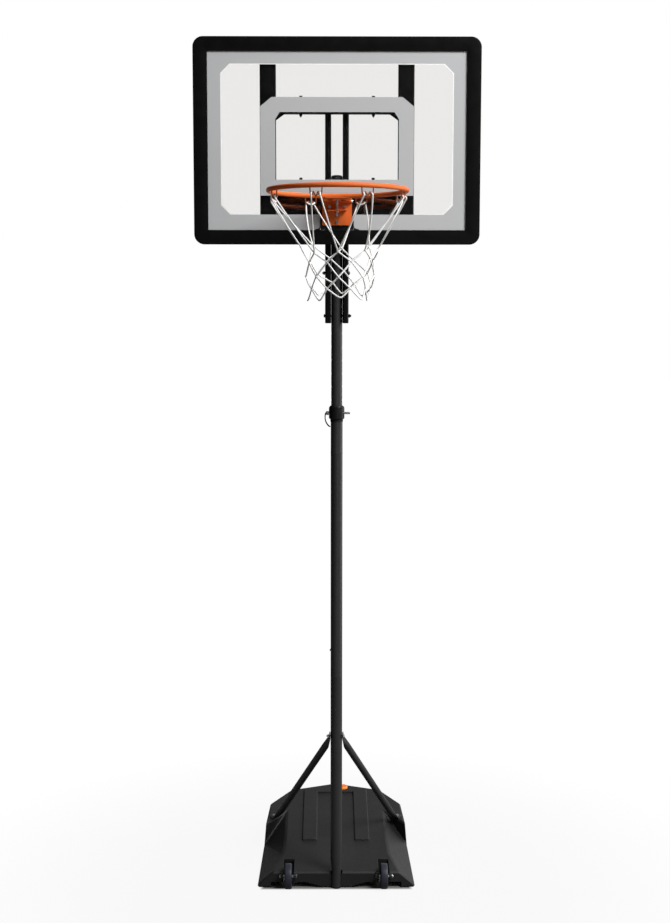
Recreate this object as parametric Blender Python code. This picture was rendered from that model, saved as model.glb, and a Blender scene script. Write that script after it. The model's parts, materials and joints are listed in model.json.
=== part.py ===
"""Portable mini basketball hoop.

A water-filled base on two wheels carries a two-piece lower pole with two struts. The upper pole slides in
it and is held by a lock pin. Two straps on the upper pole carry a steel frame, a clear board in a black
trim, and a breakaway rim with net hooks and a net. The pole axis is the Z axis, its foot stands at the
origin, and the rim faces -Y.
"""

import math

import bmesh
import bpy
from mathutils import Matrix, Vector

# Clearances between pieces that touch
SEAT_GAP = 0.0003
BOLT_HOLE_GAP = 0.0004
SLIDE_GAP = 0.0003
SMALL_CHAMFER = 0.001
CUT_MARGIN = 0.010
CROSS_CUT = 0.030

# Heights and reaches that set the hoop
RIM_HEIGHT = 2.134
RIM_ABOVE_BOARD_EDGE = 0.136
RIM_REACH = 0.252
HEIGHT_STEP = 0.040
HEIGHT_STEPS = 6

# Poles
LOWER_POLE_RADIUS = 0.018
POLE_WALL = 0.0009
FOOT_RADIUS = 0.0145
FOOT_PLUG_RIM = 0.004
FOOT_PLUG_LENGTH = 0.020
FOOT_TAPER_LOW = 0.062
FOOT_TAPER_HIGH = 0.095
LOWER_POLE_TOP = 0.678
NECK_LENGTH = 0.112
SWAGE_LENGTH = 0.004
POLE_END_ROUND = 0.0008
JOINT_SCREW_ABOVE = 0.085
JOINT_SCREW_LENGTH = 0.007
BEAD_BELOW_JOINT = 0.133
BEAD_DEPTH = 0.0004
BEAD_WIDTH = 0.0009
JOINT_BELOW_RIM = 0.626
UPPER_POLE_OVERLAP = 0.332
UPPER_POLE_ABOVE_RIM = 0.0635
TOP_CAP_DOME = 0.0065
TOP_CAP_PLUG = 0.016
POLE_SIDES = 24

# Collar and lock pin
COLLAR_RADIUS = 0.0235
COLLAR_BELOW_JOINT = 0.030
COLLAR_LIP = 0.010
COLLAR_CHAMFER = 0.0035
COLLAR_FOOT_ROUND = 0.0025
PIN_BELOW_JOINT = 0.0121
PIN_RADIUS = 0.0035
PIN_TIP = 0.0415
PIN_TAPER = 0.002
PIN_KNOB_RADIUS = 0.0062
PIN_KNOB_LENGTH = 0.0085
BAIL_EYE_SHARE = 0.55
BAIL_WIRE_RADIUS = 0.0016
BAIL_DROP = 0.0410
BAIL_SPREAD = 0.0105
BAIL_ARM = ((0.0, 0.0, 0.0), (0.0, 0.85, 0.0), (0.002, 1.0, -0.05), (0.005, 1.0, 0.0),
            (0.007, 1.0, 0.23), (0.006, 1.0, 0.54), (0.001, 1.0, 0.80))
BAIL_FOOT = ((0.004, 0.8, 0.955), (0.0, 0.3, 1.0))

# Base tank
BASE_FRONT_Y = -0.003
BASE_FRONT_HEIGHT = 0.051
BASE_RISE = 0.115
BASE_FRONT_HALF = 0.246
BASE_REAR_Y = 0.616
BASE_SKIRT = 0.012
BASE_DRAFT = 0.004
BASE_EDGE_ROUND = 0.005
SKIRT_TAPER = 0.006
TOP_FRONT_HALF = 0.200
TOP_HALF = 0.166
FLARE_WIDENING = 0.005
FLARE_SHARE = 0.19
STRAIGHT_SHARE = 0.365
SHOULDER_HALF = 0.234
SHOULDER_Y = 0.315
SHOULDER_INNER_Y = 0.400
CORNER_HALF = 0.224
CORNER_Y = 0.462
CHAMFER_HALF = 0.157
CHAMFER_Y = 0.565
ARCH_HEIGHT = 0.018
ARCH_DEPTH = 0.060
ARCH_INSET = 0.041
ARCH_INNER = 0.095
LOBE_HALF = 0.035
GROOVE_FLARE = 0.006
GROOVE_FLARE_RISE = 0.004
GROOVE_SEAT_SHARE = 0.72
PAD_RISE = 0.006
PAD_OUTER = 0.110
PAD_INNER = 0.062
PAD_FRONT_Y = 0.198
PAD_BRIDGE_Y = 0.539
PAD_REAR_Y = 0.560
PAD_REAR_MID_Y = 0.584
UNDER_RECESS = 0.004
UNDER_RECESS_HALF = 0.190
UNDER_RECESS_FRONT = 0.085
UNDER_RECESS_REAR = 0.430
UNDER_RIB_HALF = 0.012

# Fill cap
CAP_X = 0.0235
CAP_Y = 0.572
CAP_RADIUS = 0.0205
CAP_HEIGHT = 0.007
CAP_ROUND = 0.002
CAP_DISH = 0.0015
CAP_PLUG_RADIUS = 0.0140
CAP_PLUG_DEPTH = 0.012
CAP_GRIPS = 12
CAP_GRIP_DEPTH = 0.0008
CAP_BAR_HALF = 0.0110
CAP_BAR_WIDTH = 0.004
CAP_RECESS_RADIUS = 0.0245
CAP_SEAT_RISE = 0.0005
GASKET_HEIGHT = 0.0018
GASKET_RADIUS = 0.0180

# Wheels
WHEEL_INSET = 0.096
WHEEL_Y = -0.010
WHEEL_RADIUS = 0.0395
WHEEL_LIFT = 0.001
WHEEL_WIDTH = 0.0224
WHEEL_SIDE_GAP = 0.0053
WHEEL_SLOT_REAR = 0.078
WHEEL_EDGE_ROUND = 0.003
WHEEL_BAND = 0.009
WHEEL_DISH = 0.004
WHEEL_DISH_SLOPE = 0.0015
HUB_RADIUS = 0.0115
HUB_FLARE = 0.001
WHEEL_SIDES = 24
AXLE_RADIUS = 0.004
AXLE_GAP = 0.0004
LUG_WIDTH = 0.008
LUG_RADIUS = 0.011
LUG_ROOT = 0.006
PUSH_NUT_WIDTH = 0.0022
PUSH_NUT_RADIUS = 0.0064
PUSH_NUT_LIP = 0.0015
AXLE_END = 0.0015

# Struts
STRUT_BOLT_HEIGHT = 0.490
STRUT_RADIUS = 0.011
STRUT_TAB_HALF = 0.0125
STRUT_TAB_THICKNESS = 0.0040
STRUT_TAB_LENGTH = 0.034
STRUT_FOOT_X = 0.2095
STRUT_FOOT_Y = 0.362
STRUT_FOOT_LENGTH = 0.030
STRUT_FOOT_BEND = 0.55
STRUT_TAB_BEND = 0.62
STRUT_TAB_SECTIONS = ((-0.38, 0.55), (-0.27, 0.9), (-0.1, 1.0), (0.3, 1.0))
STRUT_TUBE_SHARES = (0.075, 0.3, 0.6, 0.90)
STRUT_FOOT_SECTIONS = ((-0.42, 1.0), (0.1, 1.0), (0.36, 0.9), (0.48, 0.5))
FOOT_BOLT_LENGTH = 0.020
FOOT_BOLT_SPARE = 0.002
STRUT_SIDES = 12

# Bolts
BOLT_SIDES = 8
M6_RADIUS = 0.003
M6_HEAD_RADIUS = 0.0055
M6_HEAD_HEIGHT = 0.004
M6_NUT_RADIUS = 0.0058
M6_NUT_HEIGHT = 0.005
M6_END = 0.003
M4_RADIUS = 0.002
M4_HEAD_RADIUS = 0.0040
M4_HEAD_HEIGHT = 0.0024

# Board straps and rear frame
STRAP_FRONT = -0.025
STRAP_DEPTH = 0.040
STRAP_WIDTH = 0.018
STRAP_WALL = 0.0016
STRAP_BELOW_BOARD = 0.2285
STRAP_CORNER = 0.004
STRAP_PLUG_DEPTH = 0.012
STRAP_PLUG_LIP = 0.003
STRAP_BOLT_RISES = (0.019, 0.1465)
FRAME_DEPTH = 0.024
FRAME_WALL = 0.0016
RAIL_INNER = 0.179
RAIL_OUTER = 0.226
RAIL_INSET = 0.005
CROSS_UPPER_RISE = 0.379
CROSS_UPPER_HEIGHT = 0.043
CROSS_LOWER_RISE = 0.050
CROSS_LOWER_HEIGHT = 0.110
CROSS_LOWER_BOLT_RISE = 0.018
GUSSET_WIDTH = 0.029
GUSSET_DROP = 0.020
GUSSET_THICKNESS = 0.003
GUSSET_SETBACK = 0.0005
CLIP_X = 0.106
CLIP_WIDTH = 0.009
CLIP_ABOVE = 0.007
CLIP_BELOW = 0.013
CLIP_RISE = 0.034
CLIP_GRIP = 0.008

# Board
BOARD_WIDTH = 0.840
BOARD_HEIGHT = 0.597
BOARD_CORNER = 0.030
TRIM_WIDTH = 0.042
TRIM_DEPTH = 0.012
TRIM_LIP = 0.004
TRIM_SEAT = 0.030
TRIM_ROUND = 0.0025
TRIM_INNER_CORNER = 0.002
PANEL_THICKNESS = 0.0034

# Rim mount
MOUNT_PAD_HALF = 0.049
MOUNT_PAD_ABOVE_RIM = 0.004
MOUNT_PAD_THICKNESS = 0.004
BACK_PLATE_HALF = 0.0435
BACK_PLATE_HEIGHT = 0.0811
BACK_PLATE_ABOVE_RIM = 0.0005
BACK_PLATE_THICKNESS = 0.003
BACK_PLATE_CORNER = 0.003
RIM_BOLT_X = 0.0225
RIM_BOLT_DROP = 0.027
CENTRE_BOLT_DROPS = (0.0707, 0.0505)
BRACKET_HALF = 0.027
BRACKET_HEIGHT = 0.042
BRACKET_THICKNESS = 0.0025
SHELF_DROP = 0.038
SHELF_REACH = 0.036
BREAK_ANGLE = math.radians(25.0)

# Rim
RIM_RADIUS = 0.1905
ROD_RADIUS = 0.0068
WELD_OVERLAP = 0.0018
RING_PLATE_THICKNESS = 0.0025
RING_PLATE_FRONT_HALF = 0.038
RING_PLATE_REAR_LAP = 0.002
HINGE_RADIUS = 0.006
KNUCKLE_ROOT = 0.003
KNUCKLE_ROOT_RISE = 0.0004
HINGE_SETBACK = 0.0005
HINGE_PIN_RADIUS = 0.003
HINGE_KNUCKLES = (-0.0435, -0.0270, -0.0100, 0.0100, 0.0270, 0.0435)
HINGE_HEAD = 0.0025
SPRING_BOLT_REACH = 0.020
SPRING_BOLT_RADIUS = 0.0025
SPRING_BOLT_HEAD = 0.0050
SLOT_REAR_SLACK = 0.0012
SPRING_MEAN_RADIUS = 0.0040
SPRING_WIRE_RADIUS = 0.0007
SPRING_TURNS = 8
SPRING_POINTS = 9
RING_SIDES = 64
ROD_SIDES = 8

# Net hooks and net
HOOK_COUNT = 8
HOOK_SIDES = 5
HOOK_WIRE_RADIUS = 0.0015
HOOK_HALF = 0.0170
HOOK_LOOP_X = 0.0120
HOOK_LOOP_RADIUS = 0.0042
HOOK_LOOP_DROP = 0.0200
HOOK_PEAK_X = 0.0064
HOOK_PEAK_DROP = 0.0150
HOOK_CENTRE_DROP = 0.0300
CORD_RADIUS = 0.0018
CORD_GAP = 0.0005
NET_KNOT_DROPS = (0.149, 0.206, 0.256, 0.292)
NET_KNOT_RADII = (0.114, 0.102, 0.094, 0.088)
NET_TAIL = 0.006
CORD_OVERLAP = 0.0006
CORD_SIDES = 6


def clear_scene():
    for old in list(bpy.data.objects):
        bpy.data.objects.remove(old, do_unlink=True)


def linear(channel):
    if channel <= 0.04045:
        return channel / 12.92
    return ((channel + 0.055) / 1.055) ** 2.4


def material(name, colour, roughness, metallic=0.0, alpha=1.0):
    """One Principled material from an sRGB hex colour."""
    made = bpy.data.materials.new(name)
    made.use_nodes = True
    shader = made.node_tree.nodes["Principled BSDF"]
    rgb = [linear(int(colour[i:i + 2], 16) / 255.0) for i in (0, 2, 4)]
    shader.inputs["Base Color"].default_value = (*rgb, 1.0)
    shader.inputs["Roughness"].default_value = roughness
    shader.inputs["Metallic"].default_value = metallic
    shader.inputs["Alpha"].default_value = alpha
    made.diffuse_color = (*rgb, alpha)
    return made


def body(name, location, parent=None):
    """An empty on the joint's axis that carries the pieces which move together."""
    empty = bpy.data.objects.new(name, None)
    empty.empty_display_size = 0.05
    bpy.context.collection.objects.link(empty)
    empty["world"] = list(location)
    if parent is not None:
        empty.parent = parent
        empty.location = Vector(location) - Vector(parent["world"])
    else:
        empty.location = location
    return empty


def piece(name, bm, mat, carrier, smooth=True):
    """Turns a bmesh in world coordinates into a named object whose origin is its carrier's."""
    bmesh.ops.recalc_face_normals(bm, faces=bm.faces)
    mesh = bpy.data.meshes.new(name)
    bm.to_mesh(mesh)
    bm.free()
    mesh.transform(Matrix.Translation(-Vector(carrier["world"])))
    if smooth:
        mesh.shade_smooth()
        mesh.set_sharp_from_angle(angle=math.radians(32.0))
    mesh.materials.append(mat)
    made = bpy.data.objects.new(name, mesh)
    made.parent = carrier
    bpy.context.collection.objects.link(made)
    return made


def tool_shape(name, bm):
    """A shape that only cuts or joins: hidden from the render and from the solids."""
    bmesh.ops.recalc_face_normals(bm, faces=bm.faces)
    mesh = bpy.data.meshes.new(name)
    bm.to_mesh(mesh)
    bm.free()
    made = bpy.data.objects.new(name, mesh)
    made.hide_render = True
    made.display_type = 'WIRE'
    bpy.context.collection.objects.link(made)
    return made


def combine(target, tool, operation):
    """A Boolean modifier with the exact solver."""
    modifier = target.modifiers.new(operation.title() + " " + tool.name, 'BOOLEAN')
    modifier.operation = operation
    modifier.solver = 'EXACT'
    modifier.object = tool
    return modifier


def cut(target, name, bm):
    return combine(target, tool_shape(name, bm), 'DIFFERENCE')


def join(target, name, bm):
    return combine(target, tool_shape(name, bm), 'UNION')


def rounded_edges(target, width, segments):
    modifier = target.modifiers.new("Rounded edges", 'BEVEL')
    modifier.width = width
    modifier.segments = segments
    modifier.limit_method = 'ANGLE'
    modifier.angle_limit = math.radians(28.0)
    return modifier


def loft(bm, loops, closed=False):
    """Skins loops of equal length; open ends are capped, closed ones meet again."""
    rows = [[bm.verts.new(point) for point in loop] for loop in loops]
    count = len(rows[0])
    pairs = list(zip(rows, rows[1:]))
    if closed:
        pairs.append((rows[-1], rows[0]))
    for low, high in pairs:
        for i in range(count):
            j = (i + 1) % count
            bm.faces.new((low[i], low[j], high[j], high[i]))
    if not closed:
        bm.faces.new(rows[0][::-1])
        bm.faces.new(rows[-1])
    return bm


def axes_of(direction):
    """Two unit vectors square to a direction, the same two for each piece on one axis."""
    direction = Vector(direction).normalized()
    helper = Vector((0, 0, 1)) if abs(direction.z) < 0.9 else Vector((0, 1, 0))
    first = helper.cross(direction).normalized()
    return direction, first, direction.cross(first)


def revolve(bm, profile, centre, direction, sides, closed=False, radii=None):
    """Turns (radius, distance along the axis) points about an axis."""
    direction, first, second = axes_of(direction)
    loops = []
    for radius, along in profile:
        loop = []
        for i in range(sides):
            turn = 2.0 * math.pi * i / sides
            reach = radius if radii is None else radii(radius, i)
            loop.append(Vector(centre) + direction * along
                        + first * (reach * math.cos(turn)) + second * (reach * math.sin(turn)))
        loops.append(loop)
    return loft(bm, loops, closed)


def cylinder(bm, centre, direction, radius, low, high, sides=12):
    return revolve(bm, [(radius, low), (radius, high)], centre, direction, sides)


def hole(bm, centre, direction, radius, low, high):
    """A cutter for a round hole that clears the radius with its flats."""
    return cylinder(bm, centre, direction, radius / math.cos(math.pi / BOLT_SIDES), low, high, BOLT_SIDES)


def prism(bm, outline, axis, low, high):
    """Pushes a flat outline along X, Y or Z."""
    def place(point, along):
        a, b = point
        return {"X": (along, a, b), "Y": (a, along, b), "Z": (a, b, along)}[axis]
    return loft(bm, [[place(p, low) for p in outline], [place(p, high) for p in outline]])


def box(bm, x, y, z):
    return prism(bm, [(x[0], y[0]), (x[1], y[0]), (x[1], y[1]), (x[0], y[1])], "Z", z[0], z[1])


def rounded_rectangle(half_a, half_b, corner, steps=4, centre=(0.0, 0.0)):
    """Corner arcs joined by straight sides, anticlockwise."""
    points = []
    for quadrant, (sign_a, sign_b) in enumerate(((1, 1), (-1, 1), (-1, -1), (1, -1))):
        for step in range(steps + 1):
            turn = math.pi / 2 * (quadrant + step / steps)
            points.append((centre[0] + sign_a * (half_a - corner) + corner * math.cos(turn),
                           centre[1] + sign_b * (half_b - corner) + corner * math.sin(turn)))
    return points


def round_tube(bm, outer, inner, centre=(0, 0, 0), direction=(0, 0, 1), sides=POLE_SIDES):
    """A hollow turned piece from its outer profile going up and its inner profile going up."""
    return revolve(bm, outer + inner[::-1], centre, direction, sides, closed=True)


def rectangular_tube(bm, centre, half_x, half_y, wall, corner, low, high):
    """An upright rectangular tube, open at both ends."""
    outer = rounded_rectangle(half_x, half_y, corner, 1, centre)
    inner = rounded_rectangle(half_x - wall, half_y - wall, corner - wall, 1, centre)
    loops = [[(x, y, low) for x, y in outer], [(x, y, high) for x, y in outer],
             [(x, y, high) for x, y in inner], [(x, y, low) for x, y in inner]]
    return loft(bm, loops, closed=True)


def bolt(bm, centre, direction, length, radius=M6_RADIUS, head_radius=M6_HEAD_RADIUS,
         head_height=M6_HEAD_HEIGHT):
    """A domed bolt: its head stands behind the centre, its shank runs along the direction."""
    profile = [(head_radius * 0.75, -head_height), (head_radius, 0.0), (radius, 0.0), (radius, length)]
    return revolve(bm, profile, centre, direction, BOLT_SIDES)


def nut(bm, centre, direction, height=M6_NUT_HEIGHT, radius=M6_NUT_RADIUS, hole=M6_RADIUS):
    """A hexagon nut that sits on its centre and stands along the direction."""
    bore = (hole + BOLT_HOLE_GAP) / math.cos(math.pi / 6)
    return revolve(bm, [(radius, 0.0), (radius, height), (bore, height), (bore, 0.0)], centre, direction, 6,
                   closed=True)


def wire(name, paths, radius, mat, carrier, cyclic=False):
    """Round wires or cords through lists of points, as one curve object."""
    origin = Vector(carrier["world"])
    curve = bpy.data.curves.new(name, 'CURVE')
    curve.dimensions = '3D'
    curve.bevel_depth = radius
    curve.bevel_resolution = 1
    curve.use_fill_caps = not cyclic
    for path in paths:
        spline = curve.splines.new('POLY')
        spline.points.add(len(path) - 1)
        for point, place in zip(spline.points, path):
            point.co = (*(Vector(place) - origin), 1.0)
        spline.use_cyclic_u = cyclic
        spline.use_smooth = True
    curve.materials.append(mat)
    made = bpy.data.objects.new(name, curve)
    made.parent = carrier
    bpy.context.collection.objects.link(made)
    return made


# Sizes that follow from the driving ones
LOWER_BORE = LOWER_POLE_RADIUS - POLE_WALL
UPPER_RADIUS = LOWER_BORE - SLIDE_GAP
UPPER_BORE = UPPER_RADIUS - POLE_WALL
BOARD_BOTTOM = RIM_HEIGHT - RIM_ABOVE_BOARD_EDGE
BOARD_TOP = BOARD_BOTTOM + BOARD_HEIGHT
BOARD_MID = BOARD_BOTTOM + BOARD_HEIGHT / 2
CROSS_UPPER_LOW = BOARD_BOTTOM + CROSS_UPPER_RISE
CROSS_LOWER_LOW = BOARD_BOTTOM + CROSS_LOWER_RISE
STRAP_FOOT = BOARD_BOTTOM - STRAP_BELOW_BOARD
STRAP_TOP = CROSS_UPPER_LOW + CROSS_UPPER_HEIGHT
STRAP_BOLT_HEIGHTS = tuple(STRAP_FOOT + rise for rise in STRAP_BOLT_RISES)
MOUNT_PAD_TOP = RIM_HEIGHT + MOUNT_PAD_ABOVE_RIM
BACK_PLATE_TOP = RIM_HEIGHT + BACK_PLATE_ABOVE_RIM
BACK_PLATE_LOW = BACK_PLATE_TOP - BACK_PLATE_HEIGHT
RIM_BOLT_Z = RIM_HEIGHT - RIM_BOLT_DROP
CENTRE_BOLT_HEIGHTS = tuple(RIM_HEIGHT - drop for drop in CENTRE_BOLT_DROPS)
SHELF_TOP = RIM_HEIGHT - SHELF_DROP
BRACKET_LOW = SHELF_TOP - BRACKET_HEIGHT
MIDDLE_POLE_TOP = RIM_HEIGHT - JOINT_BELOW_RIM
BEAD_HEIGHT = MIDDLE_POLE_TOP - BEAD_BELOW_JOINT
UPPER_POLE_FOOT = MIDDLE_POLE_TOP - UPPER_POLE_OVERLAP
UPPER_POLE_TOP = RIM_HEIGHT + UPPER_POLE_ABOVE_RIM
PIN_HEIGHT = MIDDLE_POLE_TOP - PIN_BELOW_JOINT
COLLAR_LOW = MIDDLE_POLE_TOP - COLLAR_BELOW_JOINT
STRAP_REAR = STRAP_FRONT + STRAP_DEPTH
STRAP_MID_Y = STRAP_FRONT + STRAP_DEPTH / 2
STRAP_INNER = UPPER_RADIUS + SEAT_GAP
STRAP_OUTER = STRAP_INNER + STRAP_WIDTH
STRAP_MID_X = STRAP_INNER + STRAP_WIDTH / 2
FRAME_REAR = STRAP_FRONT - SEAT_GAP
FRAME_FRONT = FRAME_REAR - FRAME_DEPTH
WEB_FRONT = FRAME_REAR - FRAME_WALL
TRIM_REAR = FRAME_FRONT - SEAT_GAP
TRIM_FRONT = TRIM_REAR - TRIM_DEPTH
PANEL_REAR = TRIM_REAR - TRIM_LIP - SEAT_GAP
PANEL_FRONT = PANEL_REAR - PANEL_THICKNESS
MOUNT_PAD_REAR = PANEL_FRONT - SEAT_GAP
MOUNT_PAD_FRONT = MOUNT_PAD_REAR - MOUNT_PAD_THICKNESS
BACK_PLATE_REAR = MOUNT_PAD_FRONT - SEAT_GAP
BACK_PLATE_FRONT = BACK_PLATE_REAR - BACK_PLATE_THICKNESS
BRACKET_REAR = BACK_PLATE_FRONT - SEAT_GAP
BRACKET_FRONT = BRACKET_REAR - BRACKET_THICKNESS
RIM_Y = TRIM_FRONT - RIM_REACH
RING_PLATE_TOP = RIM_HEIGHT - ROD_RADIUS + WELD_OVERLAP
RING_PLATE_LOW = RING_PLATE_TOP - RING_PLATE_THICKNESS
HINGE_Y = BACK_PLATE_FRONT - HINGE_RADIUS - HINGE_SETBACK
HINGE_Z = RING_PLATE_TOP - HINGE_RADIUS
SPRING_BOLT_Y = HINGE_Y - SPRING_BOLT_REACH
WHEEL_X = BASE_FRONT_HALF - WHEEL_INSET
ARCH_OUTER = BASE_FRONT_HALF - ARCH_INSET
CAP_SEAT = BASE_FRONT_HEIGHT + BASE_RISE * (CAP_Y - BASE_FRONT_Y) + CAP_SEAT_RISE
PIN_NEAR = -COLLAR_RADIUS - SEAT_GAP
PIN_EYE = PIN_NEAR - PIN_KNOB_LENGTH * BAIL_EYE_SHARE
AXLE_Z = WHEEL_RADIUS + WHEEL_LIFT
WHEEL_SLOT_HALF = WHEEL_WIDTH / 2 + WHEEL_SIDE_GAP
MIDDLE_POLE_FOOT = LOWER_POLE_TOP + SEAT_GAP
COLLAR_TOP = MIDDLE_POLE_TOP + COLLAR_LIP
M6_HOLE = M6_RADIUS + BOLT_HOLE_GAP
M4_HOLE = M4_RADIUS + BOLT_HOLE_GAP
JOINT_SCREW_HEIGHT = LOWER_POLE_TOP + JOINT_SCREW_ABOVE
X_AXIS = (1, 0, 0)
Y_AXIS = (0, 1, 0)
Z_AXIS = (0, 0, 1)


def deck_height(y):
    """Height of the base's sloping top at a distance from the front."""
    return BASE_FRONT_HEIGHT + BASE_RISE * (y - BASE_FRONT_Y)


def deck_normal():
    return Vector((0, -BASE_RISE, 1)).normalized()


def deck_point(x, y, above=0.0):
    return Vector((x, y, deck_height(y))) + deck_normal() * above


def build_base_shell(mats, base):
    """The moulded tank: sloping deck, sloped sides, raised rear shoulders and the details cut into it."""
    bm = bmesh.new()
    front = BASE_FRONT_Y
    flare_y = front + FLARE_SHARE * (BASE_REAR_Y - front)
    straight_y = front + STRAIGHT_SHARE * (BASE_REAR_Y - front)
    skirt_half = BASE_FRONT_HALF - SKIRT_TAPER
    corners = {
        "F1": (TOP_FRONT_HALF, front, deck_height(front)),
        "F2": (BASE_FRONT_HALF, front, BASE_SKIRT),
        "F3": (BASE_FRONT_HALF + BASE_DRAFT / 2, front, 0.0),
        "P1": (TOP_HALF + FLARE_WIDENING, flare_y, deck_height(flare_y)),
        "P2": (TOP_HALF, straight_y, deck_height(straight_y)),
        "P3": (TOP_HALF, SHOULDER_INNER_Y, deck_height(SHOULDER_INNER_Y)),
        "Q1": (skirt_half, SHOULDER_Y, BASE_SKIRT),
        "B1": (skirt_half + BASE_DRAFT / 2, SHOULDER_Y, 0.0),
        "D": (SHOULDER_HALF, SHOULDER_Y, deck_height(SHOULDER_Y)),
        "C1": (CORNER_HALF, CORNER_Y, deck_height(CORNER_Y)),
        "B2": (CORNER_HALF + BASE_DRAFT * 2, CORNER_Y + BASE_DRAFT, 0.0),
        "C2": (CHAMFER_HALF, CHAMFER_Y, deck_height(CHAMFER_Y)),
        "B3": (CHAMFER_HALF + BASE_DRAFT, CHAMFER_Y + BASE_DRAFT * 2, 0.0),
    }
    sides = []
    for sign in (1, -1):
        sides.append({key: bm.verts.new((sign * x, y, z)) for key, (x, y, z) in corners.items()})
    right, left = sides
    apex = bm.verts.new((0.0, BASE_REAR_Y, deck_height(BASE_REAR_Y)))
    heel = bm.verts.new((0.0, BASE_REAR_Y + BASE_DRAFT * 2, 0.0))
    facets = (("F1", "F2", "P1"), ("P1", "F2", "Q1"), ("P1", "Q1", "P2"), ("P2", "Q1", "P3"),
              ("P3", "Q1", "D"), ("F2", "F3", "B1", "Q1"), ("Q1", "B1", "B2"), ("Q1", "B2", "C1"),
              ("Q1", "C1", "D"), ("C1", "B2", "B3"), ("C1", "B3", "C2"))
    for side in sides:
        for facet in facets:
            bm.faces.new([side[key] for key in facet])
        bm.faces.new((side["C2"], side["B3"], heel, apex))
    deck = ("F1", "P1", "P2", "P3", "D", "C1", "C2")
    bm.faces.new([right[key] for key in deck] + [apex] + [left[key] for key in reversed(deck)])
    floor = ("F3", "B1", "B2", "B3")
    bm.faces.new([right[key] for key in floor] + [heel] + [left[key] for key in reversed(floor)])
    bm.faces.new([right[key] for key in ("F1", "F2", "F3")] + [left[key] for key in ("F3", "F2", "F1")])
    shell = piece("base_tank", bm, mats["tank"], base)
    rounded_edges(shell, BASE_EDGE_ROUND, 1)
    return shell


def join_deck_pad(shell):
    """The raised U-shaped pad on the deck, open to the front."""
    outline = [(-PAD_OUTER, PAD_FRONT_Y), (-PAD_INNER, PAD_FRONT_Y), (-PAD_INNER, PAD_BRIDGE_Y),
               (PAD_INNER, PAD_BRIDGE_Y), (PAD_INNER, PAD_FRONT_Y), (PAD_OUTER, PAD_FRONT_Y),
               (PAD_OUTER, PAD_REAR_Y), (0.0, PAD_REAR_MID_Y), (-PAD_OUTER, PAD_REAR_Y)]
    bm = bmesh.new()
    loft(bm, [[deck_point(x, y, above) for x, y in outline] for above in (-PAD_RISE, PAD_RISE)])
    pad = tool_shape("tool_deck_pad", bm)
    rounded_edges(pad, PAD_RISE / 3, 1)
    combine(shell, pad, 'UNION')


def cut_cap_recess(shell):
    """A round recess in the pad, whose flat floor the gasket lies on, and the bore for the cap's plug."""
    bm = bmesh.new()
    cylinder(bm, (CAP_X, CAP_Y, 0), Z_AXIS, CAP_RECESS_RADIUS, CAP_SEAT, CAP_SEAT + CROSS_CUT, 24)
    cut(shell, "tool_cap_recess", bm)
    bm = bmesh.new()
    cylinder(bm, (CAP_X, CAP_Y, 0), Z_AXIS, CAP_PLUG_RADIUS + SLIDE_GAP * 2,
             CAP_SEAT - CAP_PLUG_DEPTH - CAP_ROUND, CAP_SEAT + CUT_MARGIN, 24)
    cut(shell, "tool_cap_bore", bm)


def join_axle_lugs(shell):
    """A pair of rounded ears at each wheel slot that stand out of the front and hold the axle."""
    bm = bmesh.new()
    ear = [(BASE_FRONT_Y + LUG_ROOT, AXLE_Z + LUG_RADIUS * 0.8)]
    for step in range(9):
        turn = math.radians(80 + 200 * step / 8)
        ear.append((WHEEL_Y + LUG_RADIUS * math.cos(turn), AXLE_Z + LUG_RADIUS * math.sin(turn)))
    ear.append((BASE_FRONT_Y + LUG_ROOT, AXLE_Z - LUG_RADIUS))
    for sign in (1, -1):
        for edge in (WHEEL_SLOT_HALF, -WHEEL_SLOT_HALF - LUG_WIDTH):
            low = sign * WHEEL_X + edge
            prism(bm, ear, "X", low, low + LUG_WIDTH)
    join(shell, "tool_axle_lugs", bm)


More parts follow.
